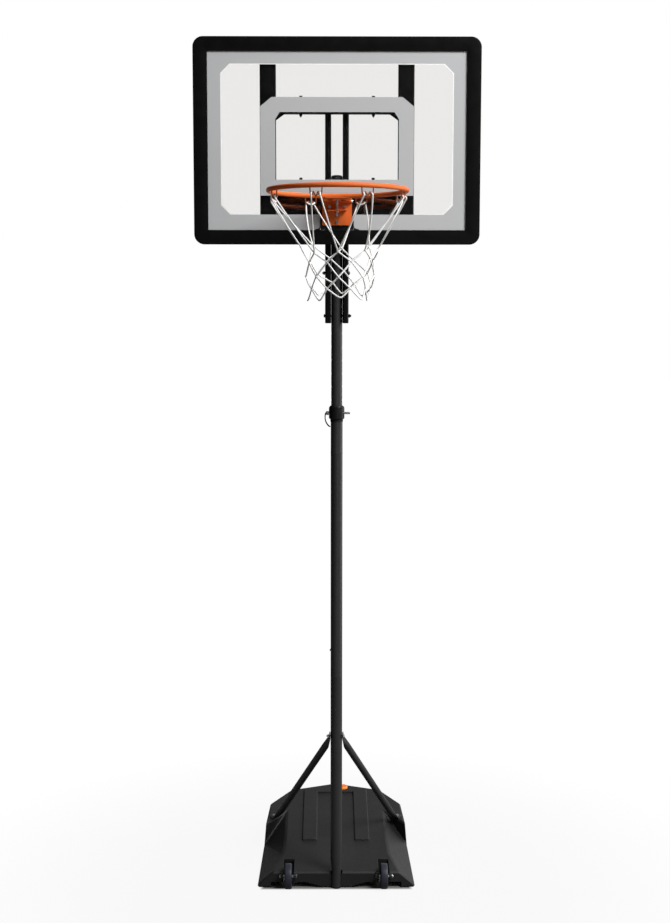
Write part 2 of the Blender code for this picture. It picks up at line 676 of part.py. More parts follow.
def cut_base_openings(shell):
    """Wheel slots, axle bores, the front arches, the pole groove, bolt holes and the recess underneath."""
    bm = bmesh.new()
    for sign in (1, -1):
        centre = sign * WHEEL_X
        reach = WHEEL_RADIUS * 2
        box(bm, (centre - WHEEL_SLOT_HALF, centre + WHEEL_SLOT_HALF),
            (WHEEL_Y - reach, WHEEL_SLOT_REAR), (-reach, deck_height(WHEEL_SLOT_REAR) + reach))
    cut(shell, "tool_wheel_slots", bm)

    bm = bmesh.new()
    for sign in (1, -1):
        reach = WHEEL_SLOT_HALF + LUG_WIDTH * 1.5
        cylinder(bm, (sign * WHEEL_X, WHEEL_Y, AXLE_Z), X_AXIS, AXLE_RADIUS + AXLE_GAP, -reach, reach, 16)
    cut(shell, "tool_axle_bores", bm)

    bm = bmesh.new()
    for sign in (1, -1):
        arch = [(sign * LOBE_HALF, -CUT_MARGIN), (sign * LOBE_HALF, 0.0), (sign * ARCH_INNER, ARCH_HEIGHT),
                (sign * ARCH_OUTER, ARCH_HEIGHT), (sign * ARCH_OUTER, -CUT_MARGIN)]
        prism(bm, arch, "Y", BASE_FRONT_Y - CROSS_CUT, BASE_FRONT_Y + ARCH_DEPTH)
    cut(shell, "tool_front_arches", bm)

    bm = bmesh.new()
    seat = FOOT_RADIUS + SEAT_GAP
    groove = [(seat, -CUT_MARGIN), (seat, BASE_FRONT_HEIGHT * GROOVE_SEAT_SHARE),
              (seat + GROOVE_FLARE, BASE_FRONT_HEIGHT + GROOVE_FLARE_RISE),
              (seat + GROOVE_FLARE, BASE_FRONT_HEIGHT + CROSS_CUT)]
    revolve(bm, groove, (0, 0, 0), Z_AXIS, POLE_SIDES)
    cut(shell, "tool_pole_groove", bm)

    bm = bmesh.new()
    for sign in (1, -1):
        hole(bm, deck_point(sign * STRUT_FOOT_X, STRUT_FOOT_Y), deck_normal(), M6_HOLE,
             -FOOT_BOLT_LENGTH - FOOT_BOLT_SPARE, CUT_MARGIN)
    cut(shell, "tool_foot_bolt_holes", bm)

    bm = bmesh.new()
    for low, high in ((-UNDER_RECESS_HALF, -UNDER_RIB_HALF), (UNDER_RIB_HALF, UNDER_RECESS_HALF)):
        box(bm, (low, high), (UNDER_RECESS_FRONT, UNDER_RECESS_REAR), (-CUT_MARGIN, UNDER_RECESS))
    cut(shell, "tool_under_recess", bm)


def build_cap(mats, lift, turn):
    """The gasket lifts with the cap; the cap's knurled rim turns on it."""
    seat = CAP_SEAT + SEAT_GAP
    bm = bmesh.new()
    bore = CAP_PLUG_RADIUS + SLIDE_GAP * 2
    round_tube(bm, [(GASKET_RADIUS, seat), (GASKET_RADIUS, seat + GASKET_HEIGHT)],
               [(bore, seat), (bore, seat + GASKET_HEIGHT)], (CAP_X, CAP_Y, 0), Z_AXIS, 24)
    piece("fill_cap_gasket", bm, mats["rubber"], lift)

    low = seat + GASKET_HEIGHT + SEAT_GAP
    high = low + CAP_HEIGHT

    def knurl(radius, index):
        return radius - (CAP_GRIP_DEPTH if index % 2 and radius > CAP_PLUG_RADIUS * 1.4 else 0.0)

    plug_foot = seat - CAP_PLUG_DEPTH
    profile = [(CAP_PLUG_RADIUS - SMALL_CHAMFER, plug_foot), (CAP_PLUG_RADIUS, plug_foot + SMALL_CHAMFER),
               (CAP_PLUG_RADIUS, low), (CAP_RADIUS, low), (CAP_RADIUS, high - CAP_ROUND),
               (CAP_RADIUS - CAP_ROUND, high), (CAP_PLUG_RADIUS, high),
               (CAP_PLUG_RADIUS - CAP_DISH, high - CAP_DISH)]
    bm = bmesh.new()
    revolve(bm, profile, (CAP_X, CAP_Y, 0), Z_AXIS, CAP_GRIPS * 2, radii=knurl)
    cap = piece("fill_cap", bm, mats["cap"], turn)
    bm = bmesh.new()
    box(bm, (CAP_X - CAP_BAR_HALF, CAP_X + CAP_BAR_HALF),
        (CAP_Y - CAP_BAR_WIDTH / 2, CAP_Y + CAP_BAR_WIDTH / 2), (high - CAP_BAR_WIDTH, high + SMALL_CHAMFER))
    join(cap, "tool_cap_grip", bm)


def build_wheel(side, sign, mats, base, wheel):
    """A moulded wheel with dished sides, its headed axle and the push nut that keeps the axle in."""
    centre = (sign * WHEEL_X, WHEEL_Y, AXLE_Z)
    half = WHEEL_WIDTH / 2
    bore = AXLE_RADIUS + AXLE_GAP
    dish = half - WHEEL_DISH
    inside = WHEEL_RADIUS - WHEEL_BAND
    face = [(WHEEL_RADIUS, half - WHEEL_EDGE_ROUND), (WHEEL_RADIUS - WHEEL_EDGE_ROUND, half), (inside, half),
            (inside - WHEEL_DISH_SLOPE, dish), (HUB_RADIUS + HUB_FLARE, dish), (HUB_RADIUS, half),
            (bore, half)]
    profile = face + [(radius, -along) for radius, along in reversed(face)]
    bm = bmesh.new()
    revolve(bm, profile, centre, X_AXIS, WHEEL_SIDES, closed=True)
    piece("wheel_" + side, bm, mats["wheel"], wheel)

    near = WHEEL_SLOT_HALF + LUG_WIDTH + SEAT_GAP
    reach = near + PUSH_NUT_WIDTH + AXLE_END
    bm = bmesh.new()
    profile = [(PUSH_NUT_RADIUS * 0.7, -near - PUSH_NUT_WIDTH),
               (PUSH_NUT_RADIUS, -near - PUSH_NUT_WIDTH * 0.4), (PUSH_NUT_RADIUS, -near),
               (AXLE_RADIUS, -near), (AXLE_RADIUS, reach - SMALL_CHAMFER),
               (AXLE_RADIUS - SMALL_CHAMFER, reach)]
    revolve(bm, profile, centre, (sign, 0, 0), 12)
    piece("axle_" + side, bm, mats["zinc"], base)
    bm = bmesh.new()
    bore_nut = AXLE_RADIUS + BOLT_HOLE_GAP
    profile = [(PUSH_NUT_RADIUS, 0.0), (PUSH_NUT_RADIUS, PUSH_NUT_WIDTH * 0.45),
               (AXLE_RADIUS + PUSH_NUT_LIP, PUSH_NUT_WIDTH), (bore_nut, PUSH_NUT_WIDTH), (bore_nut, 0.0)]
    revolve(bm, profile, Vector(centre) + Vector((sign * near, 0, 0)), (sign, 0, 0), 12, closed=True)
    piece("axle_push_nut_" + side, bm, mats["zinc"], base)


def build_lower_poles(mats, base):
    """The lower pole with its tapered foot and swaged neck, and the middle pole that slips over the neck."""
    neck = LOWER_BORE - SLIDE_GAP
    neck_top = LOWER_POLE_TOP + NECK_LENGTH
    foot = FOOT_PLUG_RIM + SEAT_GAP
    outer = [(FOOT_RADIUS, foot), (FOOT_RADIUS, FOOT_TAPER_LOW), (LOWER_POLE_RADIUS, FOOT_TAPER_HIGH),
             (LOWER_POLE_RADIUS, LOWER_POLE_TOP), (neck, LOWER_POLE_TOP + POLE_END_ROUND), (neck, neck_top)]
    inner = [(FOOT_RADIUS - POLE_WALL, foot), (FOOT_RADIUS - POLE_WALL, FOOT_TAPER_LOW),
             (LOWER_BORE, FOOT_TAPER_HIGH), (LOWER_BORE, LOWER_POLE_TOP - SWAGE_LENGTH),
             (neck - POLE_WALL, LOWER_POLE_TOP), (neck - POLE_WALL, neck_top)]
    bm = bmesh.new()
    round_tube(bm, outer, inner)
    lower = piece("lower_pole", bm, mats["pole"], base)
    bm = bmesh.new()
    hole(bm, (0, 0, STRUT_BOLT_HEIGHT), X_AXIS, M6_HOLE, -CROSS_CUT, CROSS_CUT)
    hole(bm, (0, 0, JOINT_SCREW_HEIGHT), X_AXIS, M4_HOLE, -CROSS_CUT, 0.0)
    cut(lower, "tool_lower_pole_holes", bm)

    bm = bmesh.new()
    plug = FOOT_RADIUS - POLE_WALL - SLIDE_GAP
    profile = [(FOOT_RADIUS - SMALL_CHAMFER, 0.0), (FOOT_RADIUS, SMALL_CHAMFER), (FOOT_RADIUS, FOOT_PLUG_RIM),
               (plug, FOOT_PLUG_RIM), (plug, FOOT_PLUG_LENGTH)]
    revolve(bm, profile, (0, 0, 0), Z_AXIS, POLE_SIDES)
    piece("pole_foot_plug", bm, mats["plastic"], base)

    half_bead = BEAD_WIDTH / 2
    bead = LOWER_POLE_RADIUS - BEAD_DEPTH
    foot = MIDDLE_POLE_FOOT + POLE_END_ROUND
    outer = [(LOWER_POLE_RADIUS, foot), (LOWER_POLE_RADIUS, BEAD_HEIGHT - half_bead), (bead, BEAD_HEIGHT),
             (LOWER_POLE_RADIUS, BEAD_HEIGHT + half_bead), (LOWER_POLE_RADIUS, MIDDLE_POLE_TOP)]
    inner = [(LOWER_BORE, foot), (LOWER_BORE, MIDDLE_POLE_TOP)]
    bm = bmesh.new()
    round_tube(bm, outer, inner)
    middle = piece("middle_pole", bm, mats["pole"], base)
    bm = bmesh.new()
    hole(bm, (0, 0, PIN_HEIGHT), X_AXIS, PIN_RADIUS + BOLT_HOLE_GAP, -CROSS_CUT, CROSS_CUT)
    hole(bm, (0, 0, JOINT_SCREW_HEIGHT), X_AXIS, M4_HOLE, -CROSS_CUT, 0.0)
    cut(middle, "tool_middle_pole_holes", bm)

    bm = bmesh.new()
    start = (-LOWER_POLE_RADIUS - SEAT_GAP, 0, JOINT_SCREW_HEIGHT)
    bolt(bm, start, X_AXIS, JOINT_SCREW_LENGTH, M4_RADIUS, M4_HEAD_RADIUS, M4_HEAD_HEIGHT)
    piece("pole_joint_screw", bm, mats["zinc"], base)


def build_collar(mats, base):
    sleeve = LOWER_POLE_RADIUS + SEAT_GAP
    guide = UPPER_RADIUS + SLIDE_GAP
    lip = MIDDLE_POLE_TOP + SEAT_GAP
    outer = [(COLLAR_RADIUS - COLLAR_FOOT_ROUND, COLLAR_LOW), (COLLAR_RADIUS, COLLAR_LOW + COLLAR_FOOT_ROUND),
             (COLLAR_RADIUS, COLLAR_TOP - COLLAR_CHAMFER * 1.6), (COLLAR_RADIUS - COLLAR_CHAMFER, COLLAR_TOP)]
    inner = [(sleeve, COLLAR_LOW), (sleeve, lip), (guide, lip), (guide, COLLAR_TOP)]
    bm = bmesh.new()
    round_tube(bm, outer, inner)
    collar = piece("height_collar", bm, mats["plastic"], base)
    bm = bmesh.new()
    hole(bm, (0, 0, PIN_HEIGHT), X_AXIS, PIN_RADIUS + BOLT_HOLE_GAP, -CROSS_CUT, CROSS_CUT)
    cut(collar, "tool_collar_hole", bm)


def build_lock_pin(mats, pin, bail):
    """The pin crosses collar and poles; its wire bail hangs from the knob against the pole."""
    bm = bmesh.new()
    length = PIN_TIP - PIN_NEAR
    profile = [(PIN_KNOB_RADIUS - SMALL_CHAMFER, -PIN_KNOB_LENGTH),
               (PIN_KNOB_RADIUS, -PIN_KNOB_LENGTH + SMALL_CHAMFER), (PIN_KNOB_RADIUS, 0.0), (PIN_RADIUS, 0.0),
               (PIN_RADIUS, length - PIN_TAPER), (PIN_RADIUS * 0.45, length)]
    revolve(bm, profile, (PIN_NEAR, 0, PIN_HEIGHT), X_AXIS, 12)
    pin_piece = piece("lock_pin", bm, mats["zinc"], pin)
    bm = bmesh.new()
    hole(bm, (PIN_EYE, 0, PIN_HEIGHT), Y_AXIS, BAIL_WIRE_RADIUS + BOLT_HOLE_GAP, -CROSS_CUT, CROSS_CUT)
    cut(pin_piece, "tool_pin_eye", bm)

    rest = -LOWER_POLE_RADIUS - SEAT_GAP - BAIL_WIRE_RADIUS
    half = [(start - out, BAIL_SPREAD * side, PIN_HEIGHT - BAIL_DROP * down)
            for start, part in ((PIN_EYE, BAIL_ARM), (rest, BAIL_FOOT)) for out, side, down in part]
    path = half + [(x, -y, z) for x, y, z in reversed(half[1:])]
    wire("lock_pin_bail", [path], BAIL_WIRE_RADIUS, mats["zinc"], bail, cyclic=True)


def oval(centre, wide, thin, half_wide, half_thin):
    """One section of a strut: round in the tube, flat at the tabs."""
    points = []
    for i in range(STRUT_SIDES):
        turn = 2 * math.pi * i / STRUT_SIDES
        points.append(centre + wide * (half_wide * math.cos(turn)) + thin * (half_thin * math.sin(turn)))
    return points


def build_strut(side, sign, mats, base):
    """A round tube flattened into a tab at the pole and a foot on the deck."""
    half_thin = STRUT_TAB_THICKNESS / 2
    top = Vector((sign * (LOWER_POLE_RADIUS + SEAT_GAP + half_thin), 0, STRUT_BOLT_HEIGHT))
    outward = Vector((sign * STRUT_FOOT_X, STRUT_FOOT_Y, 0)).normalized()
    foot_way = Vector((outward.x, outward.y, BASE_RISE * outward.y)).normalized()
    foot_bolt = deck_point(sign * STRUT_FOOT_X, STRUT_FOOT_Y, SEAT_GAP + half_thin)
    bend = foot_bolt - foot_way * STRUT_FOOT_LENGTH * STRUT_FOOT_BEND
    slope = (bend - top).normalized()
    tab_way = Vector((0, slope.y, slope.z)).normalized()
    tab_wide = Vector((0, -tab_way.z, tab_way.y))
    foot_wide = foot_way.cross(deck_normal())
    tube_start = top + tab_way * STRUT_TAB_LENGTH * STRUT_TAB_BEND
    run = (bend - tube_start).normalized()
    side_x = Vector((sign, 0, 0))

    def square_to(vector, way):
        return (vector - way * vector.dot(way)).normalized()

    wide_a = square_to(tab_wide, run)
    wide_b = square_to(foot_wide, run)
    if wide_a.dot(wide_b) < 0:
        foot_wide = -foot_wide
        wide_b = -wide_b
    length = (bend - tube_start).length
    sections = []
    for along, wide in STRUT_TAB_SECTIONS:
        centre = top + tab_way * STRUT_TAB_LENGTH * along
        sections.append(oval(centre, tab_wide, side_x, STRUT_TAB_HALF * wide, half_thin))
    thin_start = side_x if square_to(side_x, run).dot(run.cross(wide_a)) > 0 else -side_x
    spin = 1.0 if thin_start == side_x else -1.0
    for share in STRUT_TUBE_SHARES:
        wide = (wide_a * (1 - share) + wide_b * share).normalized()
        thin = run.cross(wide) * spin
        sections.append(oval(tube_start + run * length * share, wide, thin, STRUT_RADIUS, STRUT_RADIUS))
    foot_thin = deck_normal()
    if foot_thin.dot(run.cross(wide_b) * spin) < 0:
        foot_thin = -foot_thin
    for along, wide in STRUT_FOOT_SECTIONS:
        centre = foot_bolt + foot_way * STRUT_FOOT_LENGTH * along
        sections.append(oval(centre, foot_wide, foot_thin, STRUT_TAB_HALF * wide, half_thin))
    bm = bmesh.new()
    loft(bm, sections)
    strut = piece("strut_" + side, bm, mats["pole"], base)
    bm = bmesh.new()
    hole(bm, (0, 0, STRUT_BOLT_HEIGHT), X_AXIS, M6_HOLE, sign * CUT_MARGIN, sign * CROSS_CUT)
    hole(bm, deck_point(sign * STRUT_FOOT_X, STRUT_FOOT_Y), deck_normal(), M6_HOLE, -CUT_MARGIN, CUT_MARGIN)
    cut(strut, "tool_strut_holes_" + side, bm)


def build_strut_fasteners(mats, base):
    outer = LOWER_POLE_RADIUS + STRUT_TAB_THICKNESS + SEAT_GAP * 2
    bm = bmesh.new()
    length = outer * 2 + M6_NUT_HEIGHT + M6_END
    bolt(bm, (outer, 0, STRUT_BOLT_HEIGHT), (-1, 0, 0), length)
    piece("strut_bolt", bm, mats["zinc"], base)
    bm = bmesh.new()
    nut(bm, (-outer, 0, STRUT_BOLT_HEIGHT), (-1, 0, 0))
    piece("strut_nut", bm, mats["zinc"], base)
    for side, sign in (("left", -1), ("right", 1)):
        bm = bmesh.new()
        seat = deck_point(sign * STRUT_FOOT_X, STRUT_FOOT_Y, STRUT_TAB_THICKNESS + SEAT_GAP * 2)
        bolt(bm, seat, -deck_normal(), FOOT_BOLT_LENGTH)
        piece("strut_foot_bolt_" + side, bm, mats["zinc"], base)


def build_upper_pole(mats, mast):
    """The sliding pole with a row of lock holes at the height step, and its end cap."""
    bm = bmesh.new()
    round_tube(bm, [(UPPER_RADIUS, UPPER_POLE_FOOT), (UPPER_RADIUS, UPPER_POLE_TOP)],
               [(UPPER_BORE, UPPER_POLE_FOOT), (UPPER_BORE, UPPER_POLE_TOP)])
    pole = piece("upper_pole", bm, mats["pole"], mast)
    bm = bmesh.new()
    for step in range(HEIGHT_STEPS + 1):
        height = PIN_HEIGHT + step * HEIGHT_STEP
        hole(bm, (0, 0, height), X_AXIS, PIN_RADIUS + BOLT_HOLE_GAP, -COLLAR_RADIUS, COLLAR_RADIUS)
    cut(pole, "tool_lock_holes", bm)
    bm = bmesh.new()
    for height in STRAP_BOLT_HEIGHTS:
        hole(bm, (0, 0, height), X_AXIS, M6_HOLE, -COLLAR_RADIUS, COLLAR_RADIUS)
    cut(pole, "tool_strap_bolt_holes", bm)

    plug = UPPER_BORE - SLIDE_GAP
    seat = UPPER_POLE_TOP + SEAT_GAP
    bm = bmesh.new()
    revolve(bm, [(plug, seat - TOP_CAP_PLUG), (plug, seat), (UPPER_RADIUS, seat),
                 (UPPER_RADIUS, seat + TOP_CAP_DOME * 0.3), (UPPER_RADIUS * 0.85, seat + TOP_CAP_DOME * 0.75),
                 (UPPER_RADIUS * 0.4, seat + TOP_CAP_DOME)], (0, 0, 0), Z_AXIS, POLE_SIDES)
    piece("pole_top_cap", bm, mats["plastic"], mast)


def strap_cross_places():
    """Where bolts cross the straps from front to back: the frame bolts and the two rim bolts."""
    upper = CROSS_UPPER_LOW + CROSS_UPPER_HEIGHT / 2
    lower = CROSS_LOWER_LOW + CROSS_LOWER_BOLT_RISE
    return {"frame": [(STRAP_MID_X, upper), (STRAP_MID_X, lower)], "rim": [(RIM_BOLT_X, RIM_BOLT_Z)]}


def build_strap(side, sign, mats, mast):
    """A rectangular steel tube beside the pole that carries the board's frame.

    It is capped at the top, with weld nuts on its rear face and a plug in its foot.
    """
    centre = (sign * STRAP_MID_X, STRAP_MID_Y)
    half_x = STRAP_WIDTH / 2
    half_y = STRAP_DEPTH / 2
    inner_corner = STRAP_CORNER - STRAP_WALL
    outer = rounded_rectangle(half_x, half_y, STRAP_CORNER, 1, centre)
    inner = rounded_rectangle(half_x - STRAP_WALL, half_y - STRAP_WALL, inner_corner, 1, centre)
    bm = bmesh.new()
    loft(bm, [[(x, y, STRAP_TOP - STRAP_WALL) for x, y in inner], [(x, y, STRAP_FOOT) for x, y in inner],
              [(x, y, STRAP_FOOT) for x, y in outer], [(x, y, STRAP_TOP) for x, y in outer]])
    strap = piece("board_strap_" + side, bm, mats["frame"], mast)
    places = strap_cross_places()
    crossing = places["frame"] + places["rim"]
    bm = bmesh.new()
    for x, z in crossing:
        profile = [(M6_NUT_RADIUS, -STRAP_WALL / 2), (M6_NUT_RADIUS, M6_NUT_HEIGHT)]
        revolve(bm, profile, (sign * x, STRAP_REAR, z), Y_AXIS, 6)
    join(strap, "tool_weld_nuts_" + side, bm)
    bm = bmesh.new()
    for height in STRAP_BOLT_HEIGHTS:
        hole(bm, (0, 0, height), X_AXIS, M6_HOLE, sign * CUT_MARGIN, sign * (STRAP_OUTER + CUT_MARGIN))
    cut(strap, "tool_strap_side_holes_" + side, bm)
    bm = bmesh.new()
    for x, z in crossing:
        hole(bm, (sign * x, 0, z), Y_AXIS, M6_HOLE, STRAP_FRONT - CUT_MARGIN, STRAP_REAR + CUT_MARGIN)
    cut(strap, "tool_strap_front_holes_" + side, bm)

    plug_x = half_x - STRAP_WALL - SLIDE_GAP
    plug_y = half_y - STRAP_WALL - SLIDE_GAP
    stack = [(plug_x, plug_y, STRAP_PLUG_DEPTH), (plug_x, plug_y, -SEAT_GAP), (half_x, half_y, -SEAT_GAP),
             (half_x, half_y, -SEAT_GAP - SMALL_CHAMFER),
             (half_x - SMALL_CHAMFER * 2, half_y - SMALL_CHAMFER * 2, -STRAP_PLUG_LIP)]
    bm = bmesh.new()
    loft(bm, [[(x, y, STRAP_FOOT + along) for x, y in rounded_rectangle(wide, deep, inner_corner, 1, centre)]
              for wide, deep, along in stack])
    piece("strap_plug_" + side, bm, mats["plastic"], mast)


def build_strap_bolts(mats, mast):
    """Two bolts across straps and pole, put in from opposite sides, with their nuts."""
    seat = STRAP_OUTER + SEAT_GAP
    length = seat * 2 + M6_NUT_HEIGHT + M6_END
    for name, height, way in zip(("lower", "upper"), STRAP_BOLT_HEIGHTS, (1, -1)):
        bm = bmesh.new()
        bolt(bm, (-way * seat, 0, height), (way, 0, 0), length)
        piece("strap_bolt_" + name, bm, mats["zinc"], mast)
        bm = bmesh.new()
        nut(bm, (way * seat, 0, height), (way, 0, 0))
        piece("strap_nut_" + name, bm, mats["zinc"], mast)


def channel(low, high):
    """Section of a cross member: a web at the back and two flanges that point to the board."""
    return [(FRAME_FRONT, low), (FRAME_REAR, low), (FRAME_REAR, high), (FRAME_FRONT, high),
            (FRAME_FRONT, high - FRAME_WALL), (WEB_FRONT, high - FRAME_WALL),
            (WEB_FRONT, low + FRAME_WALL), (FRAME_FRONT, low + FRAME_WALL)]


def build_frame(mats, mast):
    """Two upright rails and two channel cross members behind the board."""
    half = (RAIL_OUTER - RAIL_INNER) / 2
    centre_y = (FRAME_FRONT + FRAME_REAR) / 2
    for side, sign in (("left", -1), ("right", 1)):
        bm = bmesh.new()
        rectangular_tube(bm, (sign * (RAIL_INNER + half), centre_y), half, FRAME_DEPTH / 2, FRAME_WALL,
                         FRAME_WALL * 2, BOARD_BOTTOM + RAIL_INSET, BOARD_TOP - RAIL_INSET)
        rail = piece("frame_rail_" + side, bm, mats["frame"], mast)
        bm = bmesh.new()
        for x, z in trim_screw_places():
            if x * sign > 0:
                hole(bm, (x, 0, z), Y_AXIS, M4_HOLE, FRAME_FRONT - CUT_MARGIN, FRAME_REAR + CUT_MARGIN)
        cut(rail, "tool_rail_holes_" + side, bm)
    reach = RAIL_INNER - SEAT_GAP
    places = strap_cross_places()
    bm = bmesh.new()
    prism(bm, channel(CROSS_UPPER_LOW, CROSS_UPPER_LOW + CROSS_UPPER_HEIGHT), "X", -reach, reach)
    upper = piece("frame_cross_upper", bm, mats["frame"], mast, smooth=False)
    join_gussets(upper)
    join_panel_strips(upper, "upper", CLIP_X, CLIP_WIDTH, CROSS_UPPER_LOW - CLIP_BELOW,
                      CROSS_UPPER_LOW + CROSS_UPPER_HEIGHT + CLIP_ABOVE, CLIP_WIDTH * 0.8)
    cut_member_holes(upper, "tool_upper_cross_holes", places["frame"][:1], ())

    bm = bmesh.new()
    top = CROSS_LOWER_LOW + CROSS_LOWER_HEIGHT
    prism(bm, channel(CROSS_LOWER_LOW, top), "X", -reach, reach)
    lower = piece("frame_cross_lower", bm, mats["frame"], mast, smooth=False)
    join_panel_strips(lower, "lower", CLIP_X, CLIP_WIDTH, top - CLIP_GRIP, top + CLIP_RISE, 0.0)
    join_panel_strips(lower, "saddle", MOUNT_PAD_HALF - CLIP_WIDTH, CLIP_WIDTH, CROSS_LOWER_LOW, top, 0.0)
    bm = bmesh.new()
    for z in CENTRE_BOLT_HEIGHTS:
        revolve(bm, [(M6_NUT_RADIUS, -FRAME_WALL / 2), (M6_NUT_RADIUS, M6_NUT_HEIGHT)],
                (0, FRAME_REAR, z), Y_AXIS, 6)
    join(lower, "tool_cross_weld_nuts", bm)
    paired = places["frame"][1:] + places["rim"]
    cut_member_holes(lower, "tool_lower_cross_holes", paired, CENTRE_BOLT_HEIGHTS)


def cut_member_holes(member, name, paired, central):
    bm = bmesh.new()
    for x, z in [(sign * x, z) for x, z in paired for sign in (1, -1)] + [(0.0, z) for z in central]:
        hole(bm, (x, 0, z), Y_AXIS, M6_HOLE, WEB_FRONT - FRAME_WALL * 2, FRAME_REAR + CUT_MARGIN)
    cut(member, name, bm)


def join_gussets(member):
    """Corner plates that stiffen the upper cross member's ends against the rails."""
    bm = bmesh.new()
    low = CROSS_UPPER_LOW - GUSSET_DROP
    top = CROSS_UPPER_LOW + FRAME_WALL / 2
    outer = RAIL_INNER - SEAT_GAP
    for sign in (1, -1):
        outline = [(sign * outer, top), (sign * (outer - GUSSET_WIDTH), top), (sign * outer, low)]
        front = FRAME_FRONT + GUSSET_SETBACK
        prism(bm, outline, "Y", front, front + GUSSET_THICKNESS)
    join(member, "tool_gussets", bm)


def join_panel_strips(member, name, x, width, low, top, point):
    """A pair of upright strips, welded to a cross member's flanges, that the panel rests on."""
    near = FRAME_FRONT + FRAME_WALL / 2
    far = PANEL_REAR + SEAT_GAP
    half = width / 2
    bm = bmesh.new()
    for sign in (1, -1):
        middle = sign * x
        outline = [(middle + half, low + point), (middle + half, top), (middle - half, top),
                   (middle - half, low + point)]
        if point:
            outline.append((middle, low))
        prism(bm, outline, "Y", far, near)
    join(member, "tool_panel_strips_" + name, bm)


def build_frame_bolts(mats, mast):
    seat = WEB_FRONT - SEAT_GAP
    length = STRAP_REAR + M6_NUT_HEIGHT + M6_END - seat
    for level, (x, z) in zip(("upper", "lower"), strap_cross_places()["frame"]):
        for side, sign in (("left", -1), ("right", 1)):
            bm = bmesh.new()
            bolt(bm, (sign * x, seat, z), Y_AXIS, length)
            piece("frame_bolt_%s_%s" % (level, side), bm, mats["zinc"], mast)


def trim_screw_places():
    x = (RAIL_INNER + RAIL_OUTER) / 2
    inset = TRIM_WIDTH / 2
    return [(sign * x, z) for sign in (1, -1) for z in (BOARD_BOTTOM + inset, BOARD_TOP - inset)]


def board_loop(inset, corner, y):
    """A rounded rectangle concentric with the board's edge."""
    half_x = BOARD_WIDTH / 2 - inset
    half_z = BOARD_HEIGHT / 2 - inset
    outline = rounded_rectangle(half_x, half_z, corner, 3, (0.0, BOARD_MID))
    return [(x, y, z) for x, z in outline]


def build_trim(mats, mast):
    """The moulded edge frame with a groove that holds the panel."""
    groove = TRIM_WIDTH - TRIM_SEAT
    section = [(TRIM_ROUND, TRIM_FRONT), (TRIM_WIDTH - SMALL_CHAMFER, TRIM_FRONT),
               (TRIM_WIDTH, TRIM_FRONT + SMALL_CHAMFER), (TRIM_WIDTH, TRIM_FRONT + TRIM_LIP),
               (groove, TRIM_FRONT + TRIM_LIP), (groove, TRIM_REAR - TRIM_LIP),
               (TRIM_WIDTH, TRIM_REAR - TRIM_LIP), (TRIM_WIDTH, TRIM_REAR), (TRIM_ROUND, TRIM_REAR),
               (0.0, TRIM_REAR - TRIM_ROUND), (0.0, TRIM_FRONT + TRIM_ROUND)]
    loops = [board_loop(inset, max(BOARD_CORNER - inset, TRIM_INNER_CORNER), y) for inset, y in section]
    bm = bmesh.new()
    loft(bm, loops, closed=True)
    trim = piece("board_trim", bm, mats["trim"], mast)
    bm = bmesh.new()
    for x, z in trim_screw_places():
        hole(bm, (x, 0, z), Y_AXIS, M4_HOLE, TRIM_REAR - TRIM_LIP * 1.5, TRIM_REAR + CUT_MARGIN)
    cut(trim, "tool_trim_holes", bm)

    seat = FRAME_REAR + SEAT_GAP
    for number, (x, z) in enumerate(trim_screw_places(), 1):
        bm = bmesh.new()
        bolt(bm, (x, seat, z), (0, -1, 0), seat - TRIM_REAR + TRIM_LIP * 0.8,
             M4_RADIUS, M4_HEAD_RADIUS, M4_HEAD_HEIGHT)
        piece("trim_screw_%d" % number, bm, mats["zinc"], mast)


def rim_bolt_places():
    return [(RIM_BOLT_X, RIM_BOLT_Z), (-RIM_BOLT_X, RIM_BOLT_Z)] + [(0.0, z) for z in CENTRE_BOLT_HEIGHTS]


def cut_rim_bolt_holes(target, name, low, high):
    bm = bmesh.new()
    for x, z in rim_bolt_places():
        hole(bm, (x, 0, z), Y_AXIS, M6_HOLE, low - SMALL_CHAMFER, high + SMALL_CHAMFER)
    cut(target, name, bm)


def build_panel(mats, mast):
    inset = TRIM_WIDTH - TRIM_SEAT + SEAT_GAP
    bm = bmesh.new()
    loft(bm, [board_loop(inset, BOARD_CORNER - inset, y) for y in (PANEL_FRONT, PANEL_REAR)])
    panel = piece("board_panel", bm, mats["clear"], mast, smooth=False)
    cut_rim_bolt_holes(panel, "tool_panel_holes", PANEL_FRONT, PANEL_REAR)


